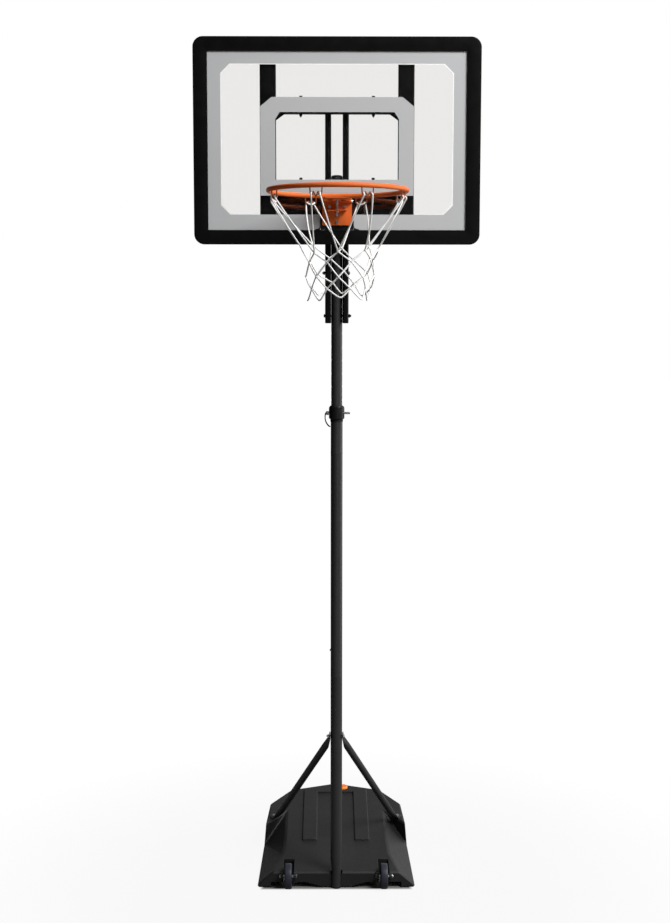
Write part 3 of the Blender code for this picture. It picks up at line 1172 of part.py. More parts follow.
def build_rim_mount(mats, mast):
    """The black pad on the board, the orange back plate with its fixed knuckles, and the spring bracket."""
    bm = bmesh.new()
    low = BOARD_BOTTOM + TRIM_WIDTH + SEAT_GAP
    box(bm, (-MOUNT_PAD_HALF, MOUNT_PAD_HALF), (MOUNT_PAD_FRONT, MOUNT_PAD_REAR), (low, MOUNT_PAD_TOP))
    pad = piece("rim_mount_pad", bm, mats["plastic"], mast, smooth=False)
    cut_rim_bolt_holes(pad, "tool_pad_holes", MOUNT_PAD_FRONT, MOUNT_PAD_REAR)

    bm = bmesh.new()
    mid = (BACK_PLATE_LOW + BACK_PLATE_TOP) / 2
    outline = rounded_rectangle(BACK_PLATE_HALF, BACK_PLATE_HEIGHT / 2, BACK_PLATE_CORNER, 2, (0.0, mid))
    prism(bm, outline, "Y", BACK_PLATE_FRONT, BACK_PLATE_REAR)
    plate = piece("rim_back_plate", bm, mats["rim"], mast)
    bm = bmesh.new()
    for start, stop in ((0, 1), (2, 3), (4, 5)):
        prism(bm, knuckle_outline(BACK_PLATE_FRONT + SMALL_CHAMFER), "X",
              HINGE_KNUCKLES[start] + HINGE_SETBACK / 2, HINGE_KNUCKLES[stop] - HINGE_SETBACK / 2)
    join(plate, "tool_fixed_knuckles", bm)
    bm = bmesh.new()
    hole(bm, (0, HINGE_Y, HINGE_Z), X_AXIS, HINGE_PIN_RADIUS + BOLT_HOLE_GAP, -MOUNT_PAD_HALF, MOUNT_PAD_HALF)
    cut(plate, "tool_fixed_pin_bore", bm)
    cut_rim_bolt_holes(plate, "tool_plate_holes", BACK_PLATE_FRONT, BACK_PLATE_REAR)

    tip = BRACKET_FRONT - SHELF_REACH
    outline = [(BRACKET_REAR, BRACKET_LOW), (BRACKET_REAR, SHELF_TOP), (tip, SHELF_TOP),
               (tip, SHELF_TOP - BRACKET_THICKNESS), (BRACKET_FRONT, SHELF_TOP - BRACKET_THICKNESS),
               (BRACKET_FRONT, BRACKET_LOW)]
    bm = bmesh.new()
    prism(bm, outline, "X", -BRACKET_HALF, BRACKET_HALF)
    bracket = piece("spring_bracket", bm, mats["rim"], mast, smooth=False)
    bm = bmesh.new()
    for z in CENTRE_BOLT_HEIGHTS:
        hole(bm, (0, 0, z), Y_AXIS, M6_HOLE, BRACKET_FRONT - SMALL_CHAMFER, BRACKET_REAR + SMALL_CHAMFER)
    hole(bm, (0, SPRING_BOLT_Y, 0), Z_AXIS, SPRING_BOLT_RADIUS + BOLT_HOLE_GAP,
         SHELF_TOP - CUT_MARGIN, SHELF_TOP + CUT_MARGIN)
    cut(bracket, "tool_bracket_holes", bm)


def knuckle_outline(back):
    """A hinge knuckle in side view: round in front, square into the plate behind."""
    points = [(back, HINGE_Z + HINGE_RADIUS * 0.6)]
    for step in range(9):
        turn = math.radians(54 + 252 * step / 8)
        points.append((HINGE_Y + HINGE_RADIUS * math.cos(turn), HINGE_Z + HINGE_RADIUS * math.sin(turn)))
    points.append((back, HINGE_Z - HINGE_RADIUS * 0.6))
    return points


def build_rim_fasteners(mats, mast):
    side_seat = BACK_PLATE_FRONT - SEAT_GAP
    side_length = STRAP_REAR + M6_NUT_HEIGHT + M6_END - side_seat
    for side, sign in (("left", -1), ("right", 1)):
        bm = bmesh.new()
        bolt(bm, (sign * RIM_BOLT_X, side_seat, RIM_BOLT_Z), Y_AXIS, side_length)
        piece("rim_bolt_" + side, bm, mats["zinc"], mast)
    centre_seat = BRACKET_FRONT - SEAT_GAP
    centre_length = FRAME_REAR + M6_NUT_HEIGHT + SMALL_CHAMFER - centre_seat
    for name, z in zip(("low", "high"), CENTRE_BOLT_HEIGHTS):
        bm = bmesh.new()
        bolt(bm, (0, centre_seat, z), Y_AXIS, centre_length)
        piece("rim_bolt_" + name, bm, mats["zinc"], mast)

    bm = bmesh.new()
    end = HINGE_KNUCKLES[-1] + SEAT_GAP
    head = HINGE_PIN_RADIUS * 1.6
    profile = [(head * 0.8, -end - HINGE_HEAD), (head, -end), (HINGE_PIN_RADIUS, -end),
               (HINGE_PIN_RADIUS, end), (head, end), (head * 0.8, end + HINGE_HEAD)]
    revolve(bm, profile, (0, HINGE_Y, HINGE_Z), X_AXIS, 12)
    piece("rim_hinge_pin", bm, mats["zinc"], mast)

    bm = bmesh.new()
    low = SHELF_TOP - BRACKET_THICKNESS - SEAT_GAP
    seat = RING_PLATE_TOP + SEAT_GAP
    bolt(bm, (0, SPRING_BOLT_Y, seat), (0, 0, -1), seat - low + M6_NUT_HEIGHT + M6_END / 2,
         SPRING_BOLT_RADIUS, SPRING_BOLT_HEAD, M6_HEAD_HEIGHT * 0.8)
    piece("spring_bolt", bm, mats["zinc"], mast)
    bm = bmesh.new()
    nut(bm, (0, SPRING_BOLT_Y, low), (0, 0, -1), M6_NUT_HEIGHT * 0.8, SPRING_BOLT_HEAD, SPRING_BOLT_RADIUS)
    piece("spring_bolt_nut", bm, mats["zinc"], mast)


def build_spring(mats, rim):
    """The rim's return spring: an open coil between the bracket's shelf and the ring's plate."""
    low = SHELF_TOP + SEAT_GAP + SPRING_WIRE_RADIUS
    high = RING_PLATE_LOW - SEAT_GAP - SPRING_WIRE_RADIUS
    count = SPRING_TURNS * SPRING_POINTS
    path = []
    for i in range(count + 1):
        turn = 2 * math.pi * i / SPRING_POINTS
        path.append((SPRING_MEAN_RADIUS * math.cos(turn), SPRING_BOLT_Y + SPRING_MEAN_RADIUS * math.sin(turn),
                     low + (high - low) * i / count))
    wire("rim_spring", [path], SPRING_WIRE_RADIUS, mats["spring"], rim)
    least = min((Vector(a) - Vector(b)).length for i, a in enumerate(path)
                for b in path[i + SPRING_POINTS // 2:]) - 2 * SPRING_WIRE_RADIUS
    print("rim_spring least gap to itself: %.2f mm" % (least * 1000))


def build_rim(mats, rim):
    """The ring with its hinged plate: round bar, plate with a slot for the spring bolt, moving knuckles."""
    bm = bmesh.new()
    loops = []
    for i in range(RING_SIDES):
        turn = 2 * math.pi * i / RING_SIDES
        outward = Vector((math.cos(turn), math.sin(turn), 0))
        centre = Vector((0, RIM_Y, RIM_HEIGHT)) + outward * RIM_RADIUS
        loops.append([centre + outward * (ROD_RADIUS * math.cos(2 * math.pi * j / ROD_SIDES))
                      + Vector((0, 0, ROD_RADIUS * math.sin(2 * math.pi * j / ROD_SIDES)))
                      for j in range(ROD_SIDES)])
    loft(bm, loops, closed=True)
    ring = piece("rim_ring", bm, mats["rim"], rim)
    join_hooks(ring)

    rear = HINGE_Y - HINGE_RADIUS - RING_PLATE_REAR_LAP
    front = RIM_Y + RIM_RADIUS - ROD_RADIUS + SMALL_CHAMFER
    rear_half = BACK_PLATE_HALF - HINGE_SETBACK
    bm = bmesh.new()
    outline = [(-rear_half, rear), (rear_half, rear), (RING_PLATE_FRONT_HALF, front),
               (-RING_PLATE_FRONT_HALF, front)]
    prism(bm, outline, "Z", RING_PLATE_LOW, RING_PLATE_TOP)
    join(ring, "tool_ring_plate", bm)
    bm = bmesh.new()
    for start, stop in ((1, 2), (3, 4)):
        low = HINGE_KNUCKLES[start] + HINGE_SETBACK / 2
        high = HINGE_KNUCKLES[stop] - HINGE_SETBACK / 2
        knuckle = [(rear - KNUCKLE_ROOT, RING_PLATE_TOP),
                   (rear - KNUCKLE_ROOT, RING_PLATE_LOW + KNUCKLE_ROOT_RISE)]
        for step in range(10):
            turn = math.radians(144 + 306 * step / 9)
            knuckle.append((HINGE_Y + HINGE_RADIUS * math.cos(turn), HINGE_Z + HINGE_RADIUS * math.sin(turn)))
        prism(bm, knuckle, "X", low, high)
    join(ring, "tool_moving_knuckles", bm)
    bm = bmesh.new()
    hole(bm, (0, HINGE_Y, HINGE_Z), X_AXIS, HINGE_PIN_RADIUS + BOLT_HOLE_GAP, -MOUNT_PAD_HALF, MOUNT_PAD_HALF)
    cut(ring, "tool_moving_pin_bore", bm)
    bm = bmesh.new()
    half = SPRING_BOLT_RADIUS + BOLT_HOLE_GAP * 2
    swing = SPRING_BOLT_REACH / math.cos(BREAK_ANGLE) + HINGE_RADIUS * math.tan(BREAK_ANGLE)
    box(bm, (-half, half), (HINGE_Y - swing - half, SPRING_BOLT_Y + half + SLOT_REAR_SLACK),
        (RING_PLATE_LOW - CUT_MARGIN / 2, RING_PLATE_TOP + CUT_MARGIN / 2))
    cut(ring, "tool_spring_bolt_slot", bm)


def hook_profile():
    """Half of one W-shaped net hook as (along the ring, below the ring's centre) points, ring end first."""
    points = [(HOOK_HALF, ROD_RADIUS - HOOK_WIRE_RADIUS)]
    for step in range(4):
        turn = math.pi * step / 3
        points.append((HOOK_LOOP_X + HOOK_LOOP_RADIUS * math.cos(turn),
                       HOOK_LOOP_DROP + HOOK_LOOP_RADIUS * math.sin(turn)))
    points.append((HOOK_PEAK_X, HOOK_PEAK_DROP))
    points.append((HOOK_PEAK_X * 0.3, HOOK_CENTRE_DROP * 0.9))
    points.append((0.0, HOOK_CENTRE_DROP))
    return points


def on_ring(turn, along, radius, drop):
    """A point near the ring: turn in radians, distance along it, radius from its centre, drop below it."""
    angle = turn + along / RIM_RADIUS
    return Vector((radius * math.sin(angle), RIM_Y - radius * math.cos(angle), RIM_HEIGHT - drop))


def hook_turn(index):
    return 2 * math.pi * (index + 0.5) / HOOK_COUNT


def sweep(bm, path, radius, sides):
    """A round tube through points, its sections square to the bend at each."""
    path = [Vector(point) for point in path]
    ways = [(after - before).normalized() for before, after in zip(path, path[1:])]
    tangents = [ways[0]] + [(a + b).normalized() for a, b in zip(ways, ways[1:])] + [ways[-1]]
    side = axes_of(tangents[0])[1]
    loops = []
    for point, tangent in zip(path, tangents):
        side = (side - tangent * side.dot(tangent)).normalized()
        up = tangent.cross(side)
        loops.append([point + side * (radius * math.cos(2 * math.pi * i / sides))
                      + up * (radius * math.sin(2 * math.pi * i / sides)) for i in range(sides)])
    return loft(bm, loops)


def join_hooks(ring):
    """The bent wires that carry the net, each welded under the ring by its two ends."""
    half = hook_profile()
    outline = half + [(-along, drop) for along, drop in reversed(half[:-1])]
    bm = bmesh.new()
    for index in range(HOOK_COUNT):
        sweep(bm, [on_ring(hook_turn(index), along, RIM_RADIUS, drop) for along, drop in outline],
              HOOK_WIRE_RADIUS, HOOK_SIDES)
    join(ring, "tool_net_hooks", bm)


def cord_path(index, sign):
    """One cord of the net: over the hook's loop, then from knot to knot, turning back at each."""
    middle = hook_turn(index)
    wrap = HOOK_WIRE_RADIUS + CORD_RADIUS + CORD_GAP
    loop_low = HOOK_LOOP_DROP + HOOK_LOOP_RADIUS
    along = sign * HOOK_LOOP_X
    path = []
    for step in range(5):
        turn = math.radians(-40 + 220 * step / 4)
        radius = RIM_RADIUS + wrap * math.cos(turn)
        path.append(on_ring(middle, along, radius, loop_low - wrap * math.sin(turn)))
    half_step = math.pi / HOOK_COUNT
    for row, (drop, radius) in enumerate(zip(NET_KNOT_DROPS, NET_KNOT_RADII)):
        beside = math.asin((CORD_RADIUS - CORD_OVERLAP) / radius)
        share = half_step - beside if row % 2 == 0 else beside
        for shift in (CORD_RADIUS, -CORD_RADIUS):
            path.append(on_ring(middle + sign * share, 0.0, radius, drop - shift))
    path.append(on_ring(middle + sign * share, 0.0, NET_KNOT_RADII[-1], NET_KNOT_DROPS[-1] + NET_TAIL))
    return path


def build_net(mats, rim):
    """Sixteen cords that hang from the hooks; each is fused to its neighbours where they meet."""
    bm = bmesh.new()
    for index in range(HOOK_COUNT):
        sweep(bm, cord_path(index, 1), CORD_RADIUS, CORD_SIDES)
    net = piece("net", bm, mats["net"], rim)
    bm = bmesh.new()
    for index in range(HOOK_COUNT):
        sweep(bm, cord_path(index, -1), CORD_RADIUS, CORD_SIDES)
    join(net, "tool_left_going_cords", bm)


def build_materials():
    return {
        "tank": material("tank_polyethylene", "2C2C2D", 0.55),
        "cap": material("cap_orange_plastic", "E0782A", 0.45),
        "rubber": material("gasket_rubber", "1A1A1A", 0.8),
        "wheel": material("wheel_plastic", "34343A", 0.5),
        "zinc": material("zinc_steel", "B9BCC0", 0.3, 1.0),
        "spring": material("spring_steel", "C4C6C8", 0.3, 1.0),
        "pole": material("black_powder_coat", "1C1C1D", 0.4, 0.2),
        "frame": material("black_frame_paint", "121213", 0.4, 0.2),
        "plastic": material("black_plastic", "161617", 0.5),
        "trim": material("trim_black_plastic", "0F0F10", 0.4),
        "clear": material("clear_polycarbonate", "EDEFF0", 0.05, 0.0, 0.25),
        "rim": material("orange_powder_coat", "E0531F", 0.4, 0.1),
        "net": material("white_net_cord", "F2F2F0", 0.85),
    }


def main():
    clear_scene()
    mats = build_materials()
    base = body("base", (0, 0, 0))
    mast = body("mast", (0, 0, COLLAR_TOP), base)
    rim = body("rim", (0, HINGE_Y, HINGE_Z), mast)
    pin = body("pin", (0, 0, PIN_HEIGHT), base)
    bail = body("bail", (PIN_EYE, 0, PIN_HEIGHT), pin)
    cap_lift = body("cap_lift", (CAP_X, CAP_Y, CAP_SEAT), base)
    cap_turn = body("cap_turn", (CAP_X, CAP_Y, CAP_SEAT), cap_lift)

    shell = build_base_shell(mats, base)
    join_deck_pad(shell)
    cut_cap_recess(shell)
    join_axle_lugs(shell)
    cut_base_openings(shell)
    build_cap(mats, cap_lift, cap_turn)
    for side, sign in (("left", -1), ("right", 1)):
        wheel = body("wheel_body_" + side, (sign * WHEEL_X, WHEEL_Y, AXLE_Z), base)
        build_wheel(side, sign, mats, base, wheel)
        build_strut(side, sign, mats, base)
        build_strap(side, sign, mats, mast)
    build_lower_poles(mats, base)
    build_strut_fasteners(mats, base)
    build_collar(mats, base)
    build_lock_pin(mats, pin, bail)
    build_upper_pole(mats, mast)
    build_strap_bolts(mats, mast)
    build_frame(mats, mast)
    build_frame_bolts(mats, mast)
    build_trim(mats, mast)
    build_panel(mats, mast)
    build_rim_mount(mats, mast)
    build_rim_fasteners(mats, mast)
    build_spring(mats, rim)
    build_rim(mats, rim)
    build_net(mats, rim)


main()
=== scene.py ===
# %% [markdown]
# Mini basketball hoop: the looks
#
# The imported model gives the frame: every solid at its real size and place, on the bodies that move.
# This lesson dresses it. It turns the facetted solids smooth, and remakes the pieces whose shape asks
# for more than a plain solid: the ring with its hooks, the net, the return spring, the pin's bail, the
# wheels and the board's edge trim. It adds three thin bands on the pole and the print on the clear
# board, and gives every surface a finish worked out from what it is made of.

import json
import math

import bmesh
import bpy
import numpy as np
from mathutils import Matrix, Vector

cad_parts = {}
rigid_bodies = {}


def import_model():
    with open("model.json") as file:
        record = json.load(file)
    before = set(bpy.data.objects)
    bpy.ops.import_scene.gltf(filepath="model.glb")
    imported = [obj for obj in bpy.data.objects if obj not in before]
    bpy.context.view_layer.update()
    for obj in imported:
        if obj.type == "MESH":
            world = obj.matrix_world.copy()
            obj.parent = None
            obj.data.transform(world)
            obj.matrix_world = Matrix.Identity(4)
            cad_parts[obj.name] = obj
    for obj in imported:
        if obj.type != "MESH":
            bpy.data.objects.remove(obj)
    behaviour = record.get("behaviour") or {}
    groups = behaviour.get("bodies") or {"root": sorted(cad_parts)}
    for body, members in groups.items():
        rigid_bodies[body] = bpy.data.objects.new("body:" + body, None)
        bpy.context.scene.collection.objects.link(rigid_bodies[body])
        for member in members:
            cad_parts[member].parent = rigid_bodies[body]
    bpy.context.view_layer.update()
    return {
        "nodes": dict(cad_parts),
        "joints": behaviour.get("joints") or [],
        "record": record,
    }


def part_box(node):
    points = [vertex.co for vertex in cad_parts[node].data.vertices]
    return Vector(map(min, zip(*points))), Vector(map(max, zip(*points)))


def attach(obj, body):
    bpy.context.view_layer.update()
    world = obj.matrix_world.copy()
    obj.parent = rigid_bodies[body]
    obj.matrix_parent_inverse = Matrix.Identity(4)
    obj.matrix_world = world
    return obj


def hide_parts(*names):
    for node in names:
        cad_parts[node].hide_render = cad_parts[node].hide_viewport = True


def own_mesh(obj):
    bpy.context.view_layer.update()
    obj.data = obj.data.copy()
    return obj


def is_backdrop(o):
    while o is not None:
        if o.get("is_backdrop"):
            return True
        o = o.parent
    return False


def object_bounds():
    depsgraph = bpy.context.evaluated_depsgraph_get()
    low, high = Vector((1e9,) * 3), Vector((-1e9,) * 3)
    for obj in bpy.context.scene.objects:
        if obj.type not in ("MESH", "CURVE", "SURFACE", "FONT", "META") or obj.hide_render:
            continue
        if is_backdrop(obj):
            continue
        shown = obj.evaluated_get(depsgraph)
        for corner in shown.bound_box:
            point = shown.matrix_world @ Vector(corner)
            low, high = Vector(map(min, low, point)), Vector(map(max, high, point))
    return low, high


for left_over in list(bpy.data.objects):
    bpy.data.objects.remove(left_over)
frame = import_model()

# %% [markdown]
# Colours are written as the sRGB hex values that a paint chart or a picture editor shows. Shaders work
# in linear light, so one function turns them. It undoes the sRGB curve: a short straight toe, and above
# it a power of 2.4.


# %% Colours
def linear(code):
    """Linear RGBA of a hex colour: c / 12.92 up to 0.04045, else ((c + 0.055) / 1.055) to the power 2.4."""
    channels = [int(code[i:i + 2], 16) / 255 for i in (0, 2, 4)]
    return tuple(c / 12.92 if c <= 0.04045 else ((c + 0.055) / 1.055) ** 2.4 for c in channels) + (1.0,)


print("mid grey 808080 is", round(linear("808080")[0], 3), "in linear light")

# %% [markdown]
# A procedural finish is a small tree of nodes. Adding nodes by hand takes three steps each time: make
# it, set it, link it. One function does all three, and every finish below is written with it. A second
# function starts a finish from a Principled shader, because its sockets are the ones that an exported
# model keeps. Whatever is the same all over the surface is set on the shader itself.

# %% One function that adds a node
MM = 0.001


def add(tree, kind, inputs=None, **settings):
    """Adds a node of a kind with its settings. Each input takes a plain value or another node's output."""
    node = tree.nodes.new("ShaderNode" + kind)
    for key, value in settings.items():
        setattr(node, key, value)
    for key, value in (inputs or {}).items():
        if isinstance(value, bpy.types.NodeSocket):
            tree.links.new(value, node.inputs[key])
        else:
            node.inputs[key].default_value = value
    return node


def start_finish(name, colour, sockets):
    """One Principled shader with a hex colour and the given sockets, as (material, tree, shader)."""
    material = bpy.data.materials.new(name)
    material.use_nodes = True
    tree = material.node_tree
    shader = tree.nodes["Principled BSDF"]
    shader.inputs["Base Color"].default_value = linear(colour)
    for socket, value in sockets.items():
        shader.inputs[socket].default_value = value
    material.diffuse_color = linear(colour)
    return material, tree, shader


def scale_of(millimetres):
    """The scale of a noise or cell pattern on metre coordinates whose features are that many mm wide."""
    return 1.0 / (millimetres * MM)


print("a 4 mm grain has scale", scale_of(4))

# %% [markdown]
# Powder coat is plastic powder that is sprayed on dry and melted in an oven. It runs together but not
# quite flat, so the surface keeps a fine orange peel with waves about 2 mm long, and the gloss is satin.
# A soft noise gives the peel as a bump. A second, larger noise varies colour and roughness a little, as
# handling does. That drift comes back in the plastics and metals below, so it is a function of its own.
# The same recipe serves the black poles, the black frame and the orange rim. The net's hooks get a
# brown much darker than the rim: partly a thinner coat on thin wire, partly painted shade.


# %% Powder coat
def drifting_finish(name, colour, other, width_mm, gloss_range, sockets, breakup=0.5):
    """One noise mixes two colours and runs the roughness over a range: (material, tree, shader, place)."""
    material, tree, shader = start_finish(name, colour, sockets)
    place = add(tree, "TexCoord").outputs["Object"]
    drift = add(tree, "TexNoise", {"Vector": place, "Scale": scale_of(width_mm), "Detail": 3.0,
                                   "Roughness": breakup})
    mixed = add(tree, "Mix", {"Factor": drift.outputs["Fac"], "A": linear(colour), "B": other},
                data_type="RGBA")
    tree.links.new(mixed.outputs["Result"], shader.inputs["Base Color"])
    gloss = add(tree, "MapRange", {"Value": drift.outputs["Fac"], "From Min": 0.3, "From Max": 0.7,
                                   "To Min": gloss_range[0], "To Max": gloss_range[1]})
    tree.links.new(gloss.outputs["Result"], shader.inputs["Roughness"])
    return material, tree, shader, place


def powder_coat(name, colour, tint, roughness, specular):
    """Satin powder coat: colour drifts to a tint over 60 mm, and a 2.5 mm orange peel dents the gloss."""
    material, tree, shader, place = drifting_finish(
        name, colour, linear(tint), 60, (roughness - 0.05, roughness + 0.06),
        {"Specular IOR Level": specular}, breakup=0.6)
    peel = add(tree, "TexNoise", {"Vector": place, "Scale": scale_of(2.5), "Detail": 1.0})
    bump = add(tree, "Bump", {"Height": peel.outputs["Fac"], "Strength": 0.12, "Distance": 0.3 * MM})
    tree.links.new(bump.outputs["Normal"], shader.inputs["Normal"])
    return material


pole_coat = powder_coat("steel_tube_black_powder_coat", "2C2C2D", "313132", 0.36, 0.22)
frame_coat = powder_coat("steel_frame_black_powder_coat", "070708", "0A0A0B", 0.38, 0.10)
rim_coat = powder_coat("steel_bar_orange_powder_coat", "D86A32", "CC5F2A", 0.42, 0.11)
# The hooks' brown is partly a thinner coat on thin wire and partly painted shade for the shadow they hang
# in.
hook_coat_with_painted_shade = powder_coat("steel_wire_orange_powder_coat_painted_shade", "8F5034", "7C432B", 0.42, 0.22)
print("powder coats:", pole_coat.name, frame_coat.name, rim_coat.name, hook_coat_with_painted_shade.name)

# %% [markdown]
# The tank is blow-moulded polyethylene: a hose of soft plastic is blown against a cold, sand-blasted
# mould. That leaves a fine matte grain, panels that are never quite flat, and a grey that pales where
# shoes and the ground have rubbed it. The grain is a noise of 1.6 mm, coarser than the real one so that
# it shows. Long waves of 70 mm pull the highlights about. A Bevel node rounds the look of the edges,
# which a mould always makes with a radius.


# %% Blow-moulded polyethylene
def blow_moulded(name, colour, scuffed):
    """Grained polyethylene: scuffs where two noises are high, 1.6 mm grain and 70 mm waves as bump."""
    material, tree, shader = start_finish(name, colour, {"Specular IOR Level": 0.32})
    place = add(tree, "TexCoord").outputs["Object"]
    drift = add(tree, "TexNoise", {"Vector": place, "Scale": scale_of(110), "Detail": 4.0,
                                   "Roughness": 0.65})
    streaks = add(tree, "Mapping", {"Vector": place, "Scale": (1.0, 0.25, 1.0),
                                    "Rotation": (0.0, 0.0, 0.5)})
    scuff = add(tree, "TexNoise", {"Vector": streaks.outputs["Vector"], "Scale": scale_of(6), "Detail": 5.0,
                                   "Roughness": 0.7})
    where = add(tree, "Math", {0: drift.outputs["Fac"], 1: scuff.outputs["Fac"]}, operation="MULTIPLY")
    amount = add(tree, "MapRange", {"Value": where.outputs["Value"], "From Min": 0.27, "From Max": 0.42,
                                    "To Min": 0.0, "To Max": 0.55})
    mixed = add(tree, "Mix", {"Factor": amount.outputs["Result"], "A": linear(colour),
                              "B": linear(scuffed)}, data_type="RGBA")
    tree.links.new(mixed.outputs["Result"], shader.inputs["Base Color"])
    gloss = add(tree, "MapRange", {"Value": scuff.outputs["Fac"], "From Min": 0.3, "From Max": 0.7,
                                   "To Min": 0.44, "To Max": 0.60})
    tree.links.new(gloss.outputs["Result"], shader.inputs["Roughness"])
    edge = add(tree, "Bevel", {"Radius": 3.0 * MM}, samples=4)
    waves = add(tree, "TexNoise", {"Vector": place, "Scale": scale_of(70), "Detail": 0.0})
    wavy = add(tree, "Bump", {"Height": waves.outputs["Fac"], "Strength": 0.25, "Distance": 1.5 * MM,
                              "Normal": edge.outputs["Normal"]})
    grain = add(tree, "TexNoise", {"Vector": place, "Scale": scale_of(1.6), "Detail": 2.0})
    bump = add(tree, "Bump", {"Height": grain.outputs["Fac"], "Strength": 0.22, "Distance": 0.3 * MM,
                              "Normal": wavy.outputs["Normal"]})
    tree.links.new(bump.outputs["Normal"], shader.inputs["Normal"])
    return material


tank_plastic = blow_moulded("polyethylene_blow_moulded_grained", "1C1C1D", "2A2A2B")
print("tank finish:", tank_plastic.name)

# %% [markdown]
# The small black parts, the wheels and the fill cap are injection moulded. Their moulds are spark
# eroded, which prints a fine even pitting, drawn here as small cells. Only colour, gloss and the size
# of the pits differ, so one function makes them all.


# %% Injection-moulded plastics
def paler(colour, times):
    """A hex colour in linear light, each channel multiplied and held at 1."""
    return tuple(min(1.0, c * times) for c in linear(colour)[:3]) + (1.0,)


def injection_moulded(name, colour, roughness, specular, pit_mm):
    """Spark-eroded moulded plastic: cells of pit_mm as a shallow bump, and a 25 mm drift in the gloss."""
    material, tree, shader, place = drifting_finish(
        name, colour, paler(colour, 1.25), 25, (roughness - 0.04, roughness + 0.06),
        {"Specular IOR Level": specular})
    pits = add(tree, "TexVoronoi", {"Vector": place, "Scale": scale_of(pit_mm)}, feature="SMOOTH_F1")
    bump = add(tree, "Bump", {"Height": pits.outputs["Distance"], "Strength": 0.15, "Distance": 0.2 * MM})
    tree.links.new(bump.outputs["Normal"], shader.inputs["Normal"])
    return material


trim_plastic = injection_moulded("polypropylene_trim_spark_eroded", "090909", 0.40, 0.10, 1.2)
black_nylon = injection_moulded("glass_filled_nylon_moulded", "101011", 0.44, 0.18, 1.0)
wheel_plastic = injection_moulded("polypropylene_wheel_moulded", "262731", 0.46, 0.30, 1.4)
cap_plastic = injection_moulded("orange_abs_moulded", "E5832F", 0.35, 0.45, 1.5)
gasket_rubber = injection_moulded("nitrile_rubber_moulded", "161616", 0.75, 0.20, 0.8)
print("moulded plastics:", trim_plastic.name, black_nylon.name, wheel_plastic.name)

# %% [markdown]
# Bolts, nuts, the pin and the axles are zinc plated steel. Plating follows the drawn or forged surface
# under it, so it is bright but not a mirror, and the passivation leaves faint patches of blue and straw.
# A metal keeps the default IOR: its colour is its reflection. The spring wire is drawn and left bright,
# with fine marks along its length. The bolts across the straps and the pin's bail are blackened instead:
# an oxide bath turns the steel itself nearly black, so they only glint.


# %% Bare and plated metal
def plated_metal(name, colour, patch, roughness, patch_mm):
    """Metal whose reflection drifts to a patch colour over patch_mm, with roughness that follows it."""
    material, tree, shader, place = drifting_finish(
        name, colour, linear(patch), patch_mm, (roughness - 0.06, roughness + 0.08), {"Metallic": 1.0})
    marks = add(tree, "TexNoise", {"Vector": place, "Scale": scale_of(0.8), "Detail": 2.0})
    bump = add(tree, "Bump", {"Height": marks.outputs["Fac"], "Strength": 0.1, "Distance": 0.1 * MM})
    tree.links.new(bump.outputs["Normal"], shader.inputs["Normal"])
    return material


zinc = plated_metal("steel_zinc_plated", "CDD1D6", "BFC3C4", 0.30, 5)
spring_wire = plated_metal("spring_steel_drawn_wire", "D3D5D8", "B8BABD", 0.24, 3)
black_oxide = plated_metal("steel_black_oxide", "2B2B2D", "1D1D1F", 0.38, 4)
print("metals:", zinc.name, spring_wire.name, black_oxide.name)

# %% [markdown]
# The board is clear polycarbonate, extruded between polished rolls. It needs to be a real glass-like
# solid, so that it bends light a little, shows the black frame behind it and reflects the studio, with
# the IOR of polycarbonate, 1.58. A glass solid blocks the light of lamps, because a path tracer can't
# aim through it. Mixing in a Transparent shader for shadow rays alone lets the light pass, as it does.


# %% Clear polycarbonate
def clear_sheet(name, colour, ior):
    """Clear sheet: a transmitting Principled shader, and plain see-through for the rays of shadows."""
    material, tree, shader = start_finish(name, colour, {"Transmission Weight": 1.0, "IOR": ior,
                                                         "Roughness": 0.02})
    place = add(tree, "TexCoord").outputs["Object"]
    wipes = add(tree, "Mapping", {"Vector": place, "Scale": (1.0, 1.0, 0.35)})
    smear = add(tree, "TexNoise", {"Vector": wipes.outputs["Vector"], "Scale": scale_of(90), "Detail": 3.0})
    gloss = add(tree, "MapRange", {"Value": smear.outputs["Fac"], "From Min": 0.35, "From Max": 0.75,
                                   "To Min": 0.01, "To Max": 0.05})
    tree.links.new(gloss.outputs["Result"], shader.inputs["Roughness"])
    passed = add(tree, "BsdfTransparent", {"Color": (0.93, 0.93, 0.93, 1.0)})
    ray = add(tree, "LightPath")
    out = tree.nodes["Material Output"]
    mix = add(tree, "MixShader", {"Fac": ray.outputs["Is Shadow Ray"], 1: shader.outputs["BSDF"],
                                  2: passed.outputs["BSDF"]})
    tree.links.new(mix.outputs["Shader"], out.inputs["Surface"])
    return material


polycarbonate = clear_sheet("polycarbonate_sheet_polished", "F5F4F2", 1.58)
print("board finish:", polycarbonate.name)

# %% [markdown]
# The grey areas on the board are screen printed. The ink is squeezed through a fine mesh, so it lies
# thin and even, with a slight tooth of the mesh and a satin gloss. It is opaque: it hides the frame.


# %% Screen-printed ink
def printed_ink(name, colour, roughness):
    """Opaque satin ink: a 0.9 mm mesh tooth as bump, coarser than the real 0.1 mm, and a faint drift."""
    material, tree, shader = start_finish(name, colour, {"Roughness": roughness,
                                                         "Specular IOR Level": 0.35})
    place = add(tree, "TexCoord").outputs["Object"]
    drift = add(tree, "TexNoise", {"Vector": place, "Scale": scale_of(160), "Detail": 2.0})
    mixed = add(tree, "Mix", {"Factor": drift.outputs["Fac"], "A": linear(colour),
                              "B": paler(colour, 1.06)}, data_type="RGBA")
    tree.links.new(mixed.outputs["Result"], shader.inputs["Base Color"])
    tooth = add(tree, "TexVoronoi", {"Vector": place, "Scale": scale_of(0.9), "Randomness": 0.2})
    bump = add(tree, "Bump", {"Height": tooth.outputs["Distance"], "Strength": 0.06, "Distance": 0.05 * MM})
    tree.links.new(bump.outputs["Normal"], shader.inputs["Normal"])
    return material


